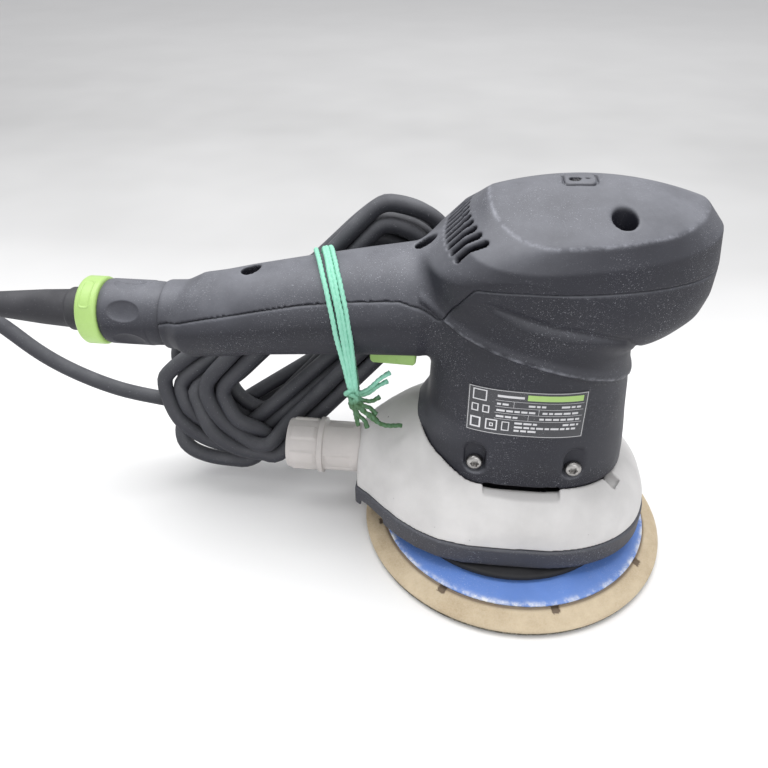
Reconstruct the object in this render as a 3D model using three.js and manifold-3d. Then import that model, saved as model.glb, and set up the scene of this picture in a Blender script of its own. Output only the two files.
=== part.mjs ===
// A hand-held random-orbit machine with a 150 mm hook-and-loop pad: a brush motor stands upright in a
// two-part housing, a white dust hood closes the drive below it, and a detachable mains lead, gathered into
// a hank, is tied to the handle. Millimetres, +Z up, +X towards the head's nose, handle towards -X.
import * as THREE from 'three';
import { mergeVertices } from 'three/addons/utils/BufferGeometryUtils.js';
import Module from 'manifold-3d';

const wasm = await Module();
wasm.setup();

// -----------------------------------------------------------------------------------------------------
// Driving dimensions
// -----------------------------------------------------------------------------------------------------
const GAP = 0.3; // clearance between pieces that touch
const HALF_GAP = GAP / 2;
const WALL = 2.8; // moulded shell thickness

const PAD_RADIUS = 75;
const PAD_EDGE_HEIGHT = 9; // where the foam meets the plate
const PLATE_RADIUS = 66;
const HOOK_THICKNESS = 1.6;
const ECCENTRICITY = 2.5; // half of the 5 mm orbit
const MOTOR_X = -ECCENTRICITY; // the pad's axis is x = 0

const HEAD_TOP = 183.4;
const NECK_BOTTOM = 49.3;
const HOOD_BOTTOM = 28.8;
const SKIRT_BOTTOM = 18;
const HOOD_REAR = -78;

const PORT_HEIGHT = 40;
const PORT_REAR = -114;
const PORT_BORE = 10.4;

const PLUG_HEIGHT = 112; // axis of the plug connector and its lock sleeve
const HANDLE_REAR = -165;
const SLEEVE = { rear: -193.7, front: -165.3, radius: 15.1 };
const RING = { rear: -204, front: -194, radius: 15.8 };
const BOOT = { rear: -262, front: -204.3, wide: 9.8, narrow: 5.2 };

const CORD_RADIUS = 4;
const STRING_RADIUS = 1.1;

const TOOL_SHIFT = -(BOOT.rear + PAD_RADIUS) / 2; // centres the object's length on the origin

// -----------------------------------------------------------------------------------------------------
// Materials
// -----------------------------------------------------------------------------------------------------
const finish = (color, roughness, metalness = 0) =>
  new THREE.MeshStandardMaterial({ color, roughness, metalness });

const LOOK = {
  housing: finish('#43444b', 0.6),
  hood: finish('#dcdbd6', 0.5),
  skirt: finish('#4a4b52', 0.6),
  port: finish('#cfc9c6', 0.5),
  accent: finish('#b0e268', 0.45),
  trigger: finish('#84aa5c', 0.5),
  blue: finish('#4f7fd0', 0.5),
  foam: finish('#c9b48c', 0.9),
  hook: finish('#8c8672', 0.95),
  rubber: finish('#242428', 0.8),
  cord: finish('#2d2e33', 0.7),
  string: finish('#7fd8b8', 0.7),
  steel: finish('#9fa1a6', 0.3, 1),
  castAlloy: finish('#b6b8bc', 0.45, 1),
  copper: finish('#b46a3c', 0.35, 1),
  brass: finish('#c8a557', 0.35, 1),
  carbon: finish('#26262a', 0.7),
  label: finish('#3a3b40', 0.5),
  board: finish('#2f6b45', 0.5),
  innerPlastic: finish('#2a2b30', 0.6),
};

// -----------------------------------------------------------------------------------------------------
// Joining and cutting
// -----------------------------------------------------------------------------------------------------
/** The geometry with its faces turned outwards, found from the sign of its volume. */
function outward(geometry) {
  const points = geometry.attributes.position;
  const index = geometry.index.array;
  const [a, b, c] = [new THREE.Vector3(), new THREE.Vector3(), new THREE.Vector3()];
  let volume = 0;
  for (let i = 0; i < index.length; i += 3) {
    a.fromBufferAttribute(points, index[i]);
    b.fromBufferAttribute(points, index[i + 1]);
    c.fromBufferAttribute(points, index[i + 2]);
    volume += a.dot(b.cross(c));
  }
  if (volume < 0) {
    for (let i = 0; i < index.length; i += 3) {
      [index[i], index[i + 1]] = [index[i + 1], index[i]];
    }
  }
  return geometry;
}

/** The same surface with shared vertices merged and collapsed triangles left out. */
function welded(geometry) {
  const bare = geometry.clone();
  bare.deleteAttribute('normal');
  bare.deleteAttribute('uv');
  const merged = mergeVertices(bare, 1e-4);
  const kept = [];
  const index = merged.index.array;
  for (let i = 0; i < index.length; i += 3) {
    const [a, b, c] = [index[i], index[i + 1], index[i + 2]];
    if (a !== b && b !== c && c !== a) kept.push(a, b, c);
  }
  merged.setIndex(kept);
  return outward(merged);
}

function solid(shape) {
  if (shape instanceof wasm.Manifold) return shape;
  const geometry = welded(shape);
  return new wasm.Manifold(new wasm.Mesh({
    numProp: 3,
    vertProperties: new Float32Array(geometry.attributes.position.array),
    triVerts: new Uint32Array(geometry.index.array),
  }));
}

const join = (...shapes) => shapes.map(solid).reduce((whole, next) => whole.add(next));
const cut = (base, ...tools) => tools.map(solid).reduce((left, tool) => left.subtract(tool), solid(base));
const common = (a, b) => solid(a).intersect(solid(b));

function toGeometry(shape) {
  if (!(shape instanceof wasm.Manifold)) return welded(shape);
  const mesh = shape.getMesh();
  const geometry = new THREE.BufferGeometry();
  geometry.setAttribute('position', new THREE.BufferAttribute(new Float32Array(mesh.vertProperties), 3));
  geometry.setIndex(new THREE.BufferAttribute(new Uint32Array(mesh.triVerts), 1));
  return geometry;
}

// -----------------------------------------------------------------------------------------------------
// Basic shapes
// -----------------------------------------------------------------------------------------------------
/** A box between two corners. */
function block(low, high) {
  const size = high.map((value, axis) => value - low[axis]);
  const centre = high.map((value, axis) => (value + low[axis]) / 2);
  return new THREE.BoxGeometry(...size).translate(...centre);
}

/** A round bar along Z from z = 0, or a cone if the two radii differ. */
function bar(radius, length, segments = 20, topRadius = radius) {
  return new THREE.CylinderGeometry(topRadius, radius, length, segments)
    .rotateX(Math.PI / 2)
    .translate(0, 0, length / 2);
}

const barAt = (x, y, z, radius, length, segments) => bar(radius, length, segments).translate(x, y, z);

/** A round bar along Y centred on a point, and one along X that starts at a point. */
const crossBar = (x, y, z, radius, length, segments = 16) =>
  new THREE.CylinderGeometry(radius, radius, length, segments).translate(x, y, z);
const longBar = (x, y, z, radius, length, segments = 24) =>
  bar(radius, length, segments).rotateY(Math.PI / 2).translate(x, y, z);

/** A turned piece about Z from [radius, height] pairs, closed on itself unless both ends are on the axis. */
function turned(profile, segments = 20) {
  const points = profile.map(([radius, height]) => new THREE.Vector2(radius, height));
  if (profile[0][0] > 0) points.push(points[0].clone());
  return new THREE.LatheGeometry(points, segments).rotateX(Math.PI / 2);
}

/** The same, turned about the motor's axis. */
const onMotor = (profile, segments) => turned(profile, segments).translate(MOTOR_X, 0, 0);

/** A piece turned about the plug connector's axis, from [radius, x] pairs. */
const onPlug = (profile, segments) =>
  turned(profile, segments).rotateY(Math.PI / 2).translate(0, 0, PLUG_HEIGHT);

/** A plane outline in X and Z, given width along Y about y = 0. */
function sideSlab(points, width) {
  const outline = new THREE.Shape(points.map(([x, z]) => new THREE.Vector2(x, z)));
  return new THREE.ExtrudeGeometry(outline, { depth: width, bevelEnabled: false, curveSegments: 8 })
    .rotateX(Math.PI / 2)
    .translate(0, width / 2, 0);
}

/** A plane outline in X and Y, raised from one height to another. */
function raised(outline, low, high, curveSegments = 8) {
  return new THREE.ExtrudeGeometry(outline, { depth: high - low, bevelEnabled: false, curveSegments })
    .translate(0, 0, low);
}

/** An outline with round ends, along X and centred on the origin. */
function stadium(length, width) {
  const radius = width / 2;
  const straight = length / 2 - radius;
  const shape = new THREE.Shape();
  shape.absarc(straight, 0, radius, -Math.PI / 2, Math.PI / 2);
  shape.absarc(-straight, 0, radius, Math.PI / 2, (3 * Math.PI) / 2);
  return shape;
}

/** A tube along a smooth curve. */
function tube(points, radius, sides, steps) {
  const section = new THREE.Shape();
  for (let i = 0; i < sides; i += 1) {
    const angle = (i / sides) * 2 * Math.PI;
    const [x, y] = [radius * Math.cos(angle), radius * Math.sin(angle)];
    if (i === 0) section.moveTo(x, y);
    else section.lineTo(x, y);
  }
  const path = new THREE.CatmullRomCurve3(points.map((point) => new THREE.Vector3(...point)));
  return new THREE.ExtrudeGeometry(section, { steps, extrudePath: path, bevelEnabled: false });
}

/** A lathe whose rings are stretched to place(ring, angle), closed by a fan at each end. */
function loft(rings, segments, place) {
  const profile = [new THREE.Vector2(0, 0)];
  for (let ring = 0; ring < rings; ring += 1) profile.push(new THREE.Vector2(1, ring + 1));
  profile.push(new THREE.Vector2(0, rings + 1));
  const geometry = new THREE.LatheGeometry(profile, segments);
  const points = geometry.attributes.position;
  const middle = (ring) => {
    const [near, far] = [place(ring, 0), place(ring, Math.PI)];
    return near.map((value, axis) => (value + far[axis]) / 2);
  };
  for (let i = 0; i < points.count; i += 1) {
    const row = i % profile.length;
    const angle = (Math.floor(i / profile.length) / segments) * 2 * Math.PI;
    if (row === 0) points.setXYZ(i, ...middle(0));
    else if (row === profile.length - 1) points.setXYZ(i, ...middle(rings - 1));
    else points.setXYZ(i, ...place(row - 1, angle));
  }
  return geometry;
}

// -----------------------------------------------------------------------------------------------------
// The housing's outer form: neck, head and handle
// -----------------------------------------------------------------------------------------------------
/** A point on an egg-shaped section: an ellipse in front of its middle and a squarer curve behind it. */
function egg({ back, front, half, middle = 0, nose = 2.3, tail = 2.6 }, angle, inset = 0) {
  const [along, across] = [Math.cos(angle), Math.sin(angle)];
  const reach = along > 0 ? front - inset - middle : middle - back - inset;
  const power = 2 / (along > 0 ? nose : tail);
  return [
    middle + reach * Math.sign(along) * Math.abs(along) ** power,
    (half - inset) * Math.sign(across) * Math.abs(across) ** power,
  ];
}

const ROOF_CROWN_X = 16;
const ROOF_HALF = 35;
/** The height of the head's crowned lid. */
function roof(x, y) {
  const fallAlong = 0.004 * (x - ROOF_CROWN_X) ** 2;
  const fallAcross = 14.5 * (Math.abs(y) / ROOF_HALF) ** 1.5;
  return HEAD_TOP - fallAlong - fallAcross;
}

const BODY_SECTIONS = [
  { z: NECK_BOTTOM, back: -46, front: 45, half: 34.5 },
  { z: 52.5, back: -49, front: 48.5, half: 36.8 },
  { z: 62, back: -50.5, front: 48, half: 37 },
  { z: 72, back: -49.5, front: 47, half: 36.6 },
  { z: 83, back: -45.5, front: 45.5, half: 36.2 },
  { z: 110, back: -45, front: 43, half: 35 },
  { z: 117, back: -45, front: 46, half: 35.3, middle: -3 },
  { z: 126, back: -46, front: 58, half: 36.5, middle: -9, nose: 2.1 },
  { z: 136, back: -46, front: 66, half: 38, middle: -13, nose: 2 },
  { z: 145, back: -47, front: 68, half: 39, middle: -15, nose: 2 },
  { z: 152, back: -47.5, front: 68, half: 39, middle: -15, nose: 2 },
  { z: 167, back: -33, front: 66.5, half: 38, middle: -6, nose: 2, tail: 2.5 },
];
const RIDGE = { back: -24, front: 59, half: ROOF_HALF, middle: 5, nose: 2.1, tail: 2.2 };
const ROOF_RINGS = [1, 0.6, 0.25];
const BODY_SEGMENTS = 24;
const HANDLE_SEGMENTS = 16;

/** Neck and head as one closed form, shrunk by an inset. Its bottom is lowered to open the hollow there. */
function bodyForm(inset = 0, drop = 0) {
  const rings = BODY_SECTIONS.length + ROOF_RINGS.length;
  return loft(rings, BODY_SEGMENTS, (ring, angle) => {
    if (ring < BODY_SECTIONS.length) {
      const section = BODY_SECTIONS[ring];
      const [x, y] = egg(section, angle, inset);
      const top = ring === BODY_SECTIONS.length - 1 ? inset * 0.5 : 0;
      const bottom = ring === 0 ? drop : 0;
      return [x, y, section.z - top - bottom];
    }
    const share = ROOF_RINGS[ring - BODY_SECTIONS.length];
    const [edgeX, edgeY] = egg(RIDGE, angle, inset);
    const x = ROOF_CROWN_X + (edgeX - ROOF_CROWN_X) * share;
    const y = edgeY * share;
    return [x, y, roof(x, y) - inset];
  });
}

const HANDLE_SECTIONS = [
  { x: HANDLE_REAR, z: 112, radius: 15.8 },
  { x: -155.5, z: 112, radius: 16.4 },
  { x: -151.5, z: 112.4, radius: 19.2 },
  { x: -140, z: 114, radius: 19.7 },
  { x: -120, z: 117.4, radius: 20.8 },
  { x: -100, z: 120.4, radius: 22 },
  { x: -74, z: 124, radius: 23.5 },
  { x: -48, z: 127, radius: 25.2 },
  { x: -20, z: 129, radius: 26 },
];

/** The handle as one closed form, running into the head. */
function handleForm(inset = 0, overrun = 0) {
  return loft(HANDLE_SECTIONS.length, HANDLE_SEGMENTS, (ring, angle) => {
    const { x, z, radius } = HANDLE_SECTIONS[ring];
    const reach = radius - inset;
    const end = ring === 0 ? -overrun : 0;
    return [x + end, reach * Math.sin(angle), z + reach * Math.cos(angle)];
  });
}

/** Half the handle's height at a place along it. */
function handleAt(x) {
  const next = HANDLE_SECTIONS.findIndex((section) => section.x >= x);
  const [a, b] = [HANDLE_SECTIONS[next - 1], HANDLE_SECTIONS[next]];
  const share = (x - a.x) / (b.x - a.x);
  return { z: a.z + (b.z - a.z) * share, radius: a.radius + (b.radius - a.radius) * share };
}

// The line where the cover meets the motor housing, from the handle's end to the nose.
const SEAM = [
  [-200, 114], [-165, 115], [-140, 121], [-100, 130.5], [-79, 134], [-57, 136.5], [-48, 134.5],
  [-40, 129.5], [-30, 147], [-27, 151], [120, 151],
];
const SEAM_TOP = 240;
const aboveSeam = (shift) =>
  sideSlab([...SEAM.map(([x, z]) => [x, z + shift]), [120, SEAM_TOP], [-200, SEAM_TOP]], 140);

// -----------------------------------------------------------------------------------------------------
// Screws and the bosses that take them
// -----------------------------------------------------------------------------------------------------
const SCREW = { head: 4, headHeight: 2.6, shank: 1.9, socket: 2 };

/** A pan-head screw along Z, its head's underside at z = 0 and its shank below. */
function screw(shankLength) {
  const body = turned([
    [0, -shankLength], [SCREW.shank, -shankLength], [SCREW.shank, 0], [SCREW.head, 0],
    [SCREW.head, SCREW.headHeight * 0.6], [SCREW.head * 0.8, SCREW.headHeight], [0, SCREW.headHeight],
  ], 9);
  const socket = bar(SCREW.socket, 3, 6).translate(0, 0, SCREW.headHeight - 1.5);
  return cut(body, socket);
}

// The head's two long screws stand in deep wells beside the dial. The handle's two sit on its crown.
const HEAD_SCREWS = [-1, 1].map((side) => ({ x: 25, y: side * 22, seat: 154, well: 4.7, foot: 132 }));
const HANDLE_SCREWS = [-124, -48].map((x) => {
  const { z, radius } = handleAt(x);
  return { x, y: 0, seat: z + radius - 7, well: 4.4, foot: z - 4 };
});
const COVER_SCREWS = [...HEAD_SCREWS, ...HANDLE_SCREWS];
const BOSS_RADIUS = 6.6;
const POST_RADIUS = 4.6;

// Four screws along Y hold the housing's foot to the bearing plate.
const HOOD_SCREW = { x: 21.5, z: 63.5, seat: 31 };
const HOOD_SCREWS = [[-1, -1], [1, -1], [-1, 1], [1, 1]].map(([end, side]) => (
  { x: end * HOOD_SCREW.x, side }));

// -----------------------------------------------------------------------------------------------------
// Housing shells
// -----------------------------------------------------------------------------------------------------
const TRIGGER = { rear: -71.5, front: -50.5, half: 6.5, pinX: -47.5, pinZ: 108 };
const DIAL = { x: 10, radius: 9, half: 3, slot: 17, slotWidth: 8 };
DIAL.z = roof(DIAL.x, 0) - 0.4 - DIAL.radius;

const outerForm = () => join(bodyForm(), handleForm());
const hollow = () => join(bodyForm(WALL, 8), handleForm(WALL, 8));

/** A tall recess with round ends in the foot of the neck, where a hood screw sits. */
function screwRecess(x, side) {
  const outline = new THREE.Shape();
  outline.absarc(0, 7, 5.2, 0, Math.PI);
  outline.absarc(0, 0, 5.2, Math.PI, 2 * Math.PI);
  const deep = 12;
  const slot = new THREE.ExtrudeGeometry(outline, { depth: deep, bevelEnabled: false, curveSegments: 5 });
  slot.rotateX(Math.PI / 2);
  const y = side > 0 ? HOOD_SCREW.seat + deep : -HOOD_SCREW.seat;
  return slot.translate(x, y, HOOD_SCREW.z);
}

function motorHousing() {
  let shell = cut(outerForm(), hollow());
  for (const { x, y, foot } of HEAD_SCREWS) {
    const side = Math.sign(y);
    const reach = [side * 24, side * 37].sort((a, b) => a - b);
    const rib = common(block([x - 1.5, reach[0], 118], [x + 1.5, reach[1], 149]), outerForm());
    shell = join(shell, barAt(x, y, foot, POST_RADIUS, 149 - foot, 14), rib);
  }
  for (const { x, z } of HANDLE_SCREWS.map((screwAt) => ({ ...screwAt, ...handleAt(screwAt.x) }))) {
    const overTrigger = x > TRIGGER.rear;
    const post = barAt(x, 0, overTrigger ? z - 12 : z - 22, POST_RADIUS, overTrigger ? 14 : 24, 12);
    const rib = block([x - 1.2, -40, z - 12], [x + 1.2, 40, z - 4]);
    shell = join(shell, common(join(post, rib), outerForm()));
  }
  for (const { x, side } of HOOD_SCREWS) {
    const boss = common(crossBar(x, side * HOOD_SCREW.seat, HOOD_SCREW.z + 3, 8.6, 4.4, 14), outerForm());
    shell = join(shell, boss);
  }
  for (const side of [-1, 1]) {
    const low = side > 0 ? 7.4 : -9.6;
    const cheek = block([TRIGGER.pinX - 3, low, 99], [TRIGGER.pinX + 3, low + 2.2, 112]);
    shell = join(shell, common(cheek, outerForm()));
  }
  const tools = [aboveSeam(-HALF_GAP)];
  for (const { x, y, foot } of COVER_SCREWS) tools.push(barAt(x, y, foot, SCREW.shank + GAP, 80, 8));
  for (const { x, side } of HOOD_SCREWS) {
    tools.push(screwRecess(x, side), crossBar(x, side * 30, HOOD_SCREW.z, SCREW.shank + GAP, 20, 8));
  }
  const side = TRIGGER.half + 0.5;
  tools.push(block([TRIGGER.rear - 0.8, -side, 85], [TRIGGER.front + 0.5, side, 106]));
  tools.push(block([TRIGGER.front, -side, 103], [TRIGGER.pinX + 4, side, 113]));
  tools.push(crossBar(TRIGGER.pinX, 0, TRIGGER.pinZ, 1.5 + HALF_GAP, 30, 12));
  return cut(shell, ...tools);
}

const VENT = { count: 13, pitch: 4.6, width: 2.3, length: 14 };
/** A slot that runs down the head's rear slope. The slope curves forward towards the sides. */
function ventSlot(i) {
  const y = (i - (VENT.count - 1) / 2) * VENT.pitch;
  const forward = 6.5 * (Math.abs(y) / 28) ** 2;
  return new THREE.BoxGeometry(VENT.length, VENT.width, 12)
    .rotateY(-Math.PI / 4)
    .translate(-35 + forward, y, 163 - forward * 0.25);
}

function topCover() {
  let shell = cut(outerForm(), hollow());
  for (const { x, y, seat } of COVER_SCREWS) {
    const boss = common(barAt(x, y, seat - 3, BOSS_RADIUS, 60, 14), outerForm());
    shell = join(shell, boss);
  }
  for (const side of [-1, 1]) {
    const low = side > 0 ? 4.6 : -7;
    const cheek = block([DIAL.x - 5, low, DIAL.z - 4], [DIAL.x + 5, low + 2.4, 200]);
    shell = join(shell, common(cheek, outerForm()));
  }
  shell = common(shell, aboveSeam(HALF_GAP));
  const tools = [];
  for (const { x, y, seat, well } of COVER_SCREWS) {
    tools.push(barAt(x, y, seat, well, 60, 16), barAt(x, y, seat - 20, SCREW.shank + GAP, 40, 8));
  }
  for (let i = 0; i < VENT.count; i += 1) tools.push(ventSlot(i));
  tools.push(raised(stadium(DIAL.slot, DIAL.slotWidth), 0, 20, 5).translate(DIAL.x, 0, roof(DIAL.x, 0) - 8));
  tools.push(crossBar(DIAL.x, 0, DIAL.z, 1.5 + HALF_GAP, 30, 12));
  return cut(shell, ...tools);
}

/** A thin plate bent to the neck's side. */
function ratingPlate() {
  const skin = cut(bodyForm(-0.9), bodyForm(-GAP));
  return common(skin, block([-27, -60, 81.5], [23, 0, 105.5]));
}

// -----------------------------------------------------------------------------------------------------
// Dust hood, skirt and port
// -----------------------------------------------------------------------------------------------------
// The hood's half width and its height from the flat rear face forwards. Its round front follows below.
const HOOD_STATIONS = [
  { x: HOOD_REAR, half: 17, top: 51.5 },
  { x: -76, half: 18.6, top: 56 },
  { x: -71, half: 22.5, top: 62 },
  { x: -64, half: 29.5, top: 67 },
  { x: -55, half: 37.5, top: 72 },
  { x: -46, half: 43.5, top: 75.5 },
  { x: -36, half: 48, top: 73 },
  { x: -24, half: 50.3, top: 64 },
  { x: -8, half: 50.5, top: 60 },
];
const HOOD_FRONT = { reach: 62, half: 50.5, rise: 31 };
const HOOD_FRONT_TURNS = [0.1, 0.3, 0.5, 0.66, 0.8, 0.9, 0.97];
for (const turn of HOOD_FRONT_TURNS) {
  const share = Math.cos((turn * Math.PI) / 2) ** (2 / 2.3);
  const x = HOOD_FRONT.reach * Math.sin((turn * Math.PI) / 2) ** (2 / 2.3);
  HOOD_STATIONS.push({ x, half: HOOD_FRONT.half * share, top: HOOD_BOTTOM + HOOD_FRONT.rise * share });
}

/** The hood as a row of arches along X, each on a flat foot. */
function hoodForm(inset = 0, foot = HOOD_BOTTOM) {
  return loft(HOOD_STATIONS.length, 24, (ring, angle) => {
    const { x, half, top } = HOOD_STATIONS[ring];
    const power = x < -12 ? 2 / 1.9 : 2 / 2.5;
    const width = Math.max(half - inset, 1);
    const rise = Math.max(top - inset - HOOD_BOTTOM, 1);
    const [across, up] = [Math.cos(angle), Math.sin(angle)];
    const end = ring === 0 ? inset : 0;
    const front = ring === HOOD_STATIONS.length - 1 ? inset : 0;
    const z = up > 1e-6 ? HOOD_BOTTOM + rise * up ** power : foot;
    return [x + end - front, width * Math.sign(across) * Math.abs(across) ** power, z];
  });
}

const portHole = () => longBar(-100, 0, PORT_HEIGHT, 12.9, 40, 20);

function dustHood() {
  const chamber = cut(hoodForm(2.6, 20), block([-47, -60, 46], [80, 60, 100]), bodyForm(-2.9));
  const intake = barAt(MOTOR_X, 0, 40, 24, 20, 24);
  const sideNotch = block([-17, -50, 50.6], [17, -35, 56]);
  return cut(hoodForm(), chamber, bodyForm(-GAP), portHole(), intake, sideNotch);
}

/** The hood's plan as a closed outline, grown or shrunk by an offset. */
function hoodPlan(offset) {
  const near = HOOD_STATIONS.map(({ x, half }) => {
    const end = x === HOOD_REAR ? -offset : 0;
    return new THREE.Vector2(x + end + offset * Math.max(0, x / HOOD_FRONT.reach), -(half + offset));
  });
  const nose = new THREE.Vector2(HOOD_FRONT.reach + offset, 0);
  return new THREE.Shape([...near, nose, ...near.slice().reverse().map(({ x, y }) => new THREE.Vector2(x, -y))]);
}

function hoodSkirt() {
  const outside = raised(hoodPlan(0.6), SKIRT_BOTTOM, HOOD_BOTTOM - GAP);
  const inside = raised(hoodPlan(-2.4), SKIRT_BOTTOM + 2.4, 40);
  const reliefs = [block([-76, -30, 10], [-66, -19, 22]), block([-76, 19, 10], [-66, 30, 22])];
  const mouth = barAt(MOTOR_X, 0, 10, 46, 30, 28);
  return cut(outside, inside, mouth, portHole(), ...reliefs);
}

/** The stub that a hose pushes onto, with a collar and ribs at its end. */
function dustPort() {
  const reach = HOOD_REAR - PORT_REAR;
  const profile = [
    [PORT_BORE, -reach], [12.6, -reach], [13.2, -reach + 1.5], [13.4, -19.8], [14, -19.6], [14, -17.8],
    [12.6, -17.6], [12.6, 6], [PORT_BORE, 6],
  ];
  const stub = turned(profile, 20).rotateY(Math.PI / 2).translate(HOOD_REAR, 0, PORT_HEIGHT);
  const ribs = [1, 3, 5, 7].map((turn) =>
    new THREE.BoxGeometry(7, 1.6, 2)
      .translate(0, 0, 13)
      .rotateX((turn * Math.PI) / 4)
      .translate(PORT_REAR + 9, 0, PORT_HEIGHT));
  return join(stub, ...ribs);
}

// -----------------------------------------------------------------------------------------------------
// Motor and eccentric drive
// -----------------------------------------------------------------------------------------------------
const BEARINGS = {
  lower: { low: 54, high: 62, bore: 4, race: 6.6, cup: 10.2, outer: 13 },
  upper: { low: 128, high: 135, bore: 3.5, race: 5.8, cup: 8.6, outer: 11 },
  pad: { low: 23, high: 37, bore: 6, race: 9.2, cup: 12.8, outer: 16 },
};
const innerRace = ({ low, high, bore, race }) =>
  [[bore + HALF_GAP, low], [race, low], [race, high], [bore + HALF_GAP, high]];
/** The outer race with its two shields, which reach in over the balls. */
const outerRace = ({ low, high, race, cup, outer }) => [
  [race + 0.6, low], [outer, low], [outer, high], [race + 0.6, high],
  [race + 0.6, high - 0.8], [cup, high - 0.8], [cup, low + 0.8], [race + 0.6, low + 0.8],
];

const motorShaft = () => onMotor([
  [0, 44.3], [4, 44.3], [4, 64], [5, 64], [5, 127.5], [3.5, 127.5], [3.5, 140], [0, 140],
], 16);
const armatureCore = () => {
  const slots = [];
  for (let i = 0; i < 8; i += 1) {
    slots.push(block([15, -1.4, 70], [30, 1.4, 120]).rotateZ((i * Math.PI) / 4).translate(MOTOR_X, 0, 0));
  }
  return cut(onMotor([[5 + GAP, 80], [19, 80], [19, 108], [5 + GAP, 108]], 24), ...slots);
};
const commutator = () => onMotor([
  [5 + GAP, 114], [11, 114], [11, 124.5], [12.5, 124.5], [12.5, 126], [5 + GAP, 126],
]);

/** A hub and disc with blades standing on it. */
function fan({ low, disc, high, hub, bore, radius, blades }) {
  const floor = low + disc;
  let wheel = solid(onMotor([
    [bore, low], [radius, low], [radius, floor], [hub, floor], [hub, high], [bore, high],
  ]));
  for (let i = 0; i < blades; i += 1) {
    const blade = block([hub - 0.5, -0.7, floor - 0.2], [radius - 0.5, 0.7, high])
      .rotateZ((i * 2 * Math.PI) / blades)
      .translate(MOTOR_X, 0, 0);
    wheel = join(wheel, blade);
  }
  return wheel;
}
const coolingFan = () => fan({ low: 66, disc: 2, high: 73, hub: 8, bore: 5 + GAP, radius: 26, blades: 7 });
const dustFan = () => fan({ low: 39, disc: 1.8, high: 44.5, hub: 11.5, bore: 9.3, radius: 36, blades: 6 });

/** A cup that holds the pad's bearing off the motor's axis, with a boss on the shaft and a balance weight. */
function counterweight() {
  const { low, outer } = BEARINGS.pad;
  const seat = outer + HALF_GAP;
  const cup = turned([[seat, low - 0.5], [19.5, low - 0.5], [19.5, 38.4], [seat, 38.4]]);
  const web = barAt(0, 0, 37.6, 19.5, 1.2);
  const boss = onMotor([[0, 37.6], [9, 37.6], [9, 50], [0, 50]], 20);
  const sector = new THREE.Shape();
  sector.absarc(0, 0, 34, Math.PI - 1, Math.PI + 1);
  sector.absarc(0, 0, 18, Math.PI + 1, Math.PI - 1, true);
  const weight = cut(raised(sector, 25, 37.5, 6), barAt(0, 0, 20, 19, 20));
  return cut(join(cup, web, boss, weight), barAt(MOTOR_X, 0, 44, 4 + HALF_GAP, 20, 16));
}

function statorCore() {
  const ring = onMotor([[24.5, 78], [31, 78], [31, 110], [24.5, 110]], 24);
  const poles = [-1, 1].map((side) => {
    const pole = new THREE.Shape();
    pole.absarc(0, 0, 27, -0.75, 0.75);
    pole.absarc(0, 0, 19.6, 0.75, -0.75, true);
    return raised(pole, 78, 110, 6).rotateZ(side > 0 ? 0 : Math.PI).translate(MOTOR_X, 0, 0);
  });
  return join(ring, ...poles);
}

/** A winding that lies beside a pole, between the armature and the core's ring. */
function fieldCoil(side) {
  const arc = new THREE.Shape();
  arc.absarc(0, 0, 24, 0.85, Math.PI - 0.85);
  arc.absarc(0, 0, 19.8, Math.PI - 0.85, 0.85, true);
  return raised(arc, 74.5, 112, 6).rotateZ(side > 0 ? 0 : Math.PI).translate(MOTOR_X, 0, 0);
}

const BRUSH = { z: 119, half: 3, tip: 11.3, tail: 21, holderTip: 14, holderTail: 27 };
function brushHolder(side) {
  const box = block([-4.6, BRUSH.holderTip, BRUSH.z - 4.6], [4.6, BRUSH.holderTail, BRUSH.z + 4.6]);
  const reach = BRUSH.half + GAP;
  const bore = block([-reach, 0, BRUSH.z - reach], [reach, 25, BRUSH.z + reach]);
  const holder = cut(box, bore);
  return toGeometry(holder).rotateZ(side > 0 ? 0 : Math.PI).translate(MOTOR_X, 0, 0);
}
const carbonBrush = (side) =>
  block([-BRUSH.half, BRUSH.tip, BRUSH.z - BRUSH.half], [BRUSH.half, BRUSH.tail, BRUSH.z + BRUSH.half])
    .rotateZ(side > 0 ? 0 : Math.PI)
    .translate(MOTOR_X, 0, 0);

/** The plate at the neck's foot: it holds the lower bearing and takes the four hood screws. */
function bearingPlate() {
  const { low, high, outer } = BEARINGS.lower;
  const rim = outer + HALF_GAP;
  const plate = onMotor([
    [10.6, low - 2], [31.5, low - 2], [31.5, low + 1], [17, low + 1], [17, high], [rim, high],
    [rim, low - GAP], [10.6, low - GAP],
  ]);
  const lugs = HOOD_SCREWS.map(({ x, side }) => {
    const span = [side * 22.5, side * 28.4].sort((a, b) => a - b);
    return block([x - 4, span[0], low - 1.5], [x + 4, span[1], 69]);
  });
  const holes = HOOD_SCREWS.map(({ x, side }) =>
    crossBar(x, side * 27, HOOD_SCREW.z, SCREW.shank + HALF_GAP, 8, 8));
  return cut(join(plate, ...lugs), ...holes);
}

/** The bar across the neck that holds the upper bearing. */
function bearingBridge() {
  const { low, high, outer } = BEARINGS.upper;
  const span = block([MOTOR_X - 7, -33.4, high - 1.5], [MOTOR_X + 7, 33.4, high + 3]);
  const cup = barAt(MOTOR_X, 0, low + 1, outer + 3, high - low + 2, 24);
  const seat = barAt(MOTOR_X, 0, low - 5, outer + HALF_GAP, high - low + 5 + HALF_GAP, 24);
  const shaftHole = barAt(MOTOR_X, 0, 120, 6, 40, 16);
  return cut(join(span, cup), seat, shaftHole);
}

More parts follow.
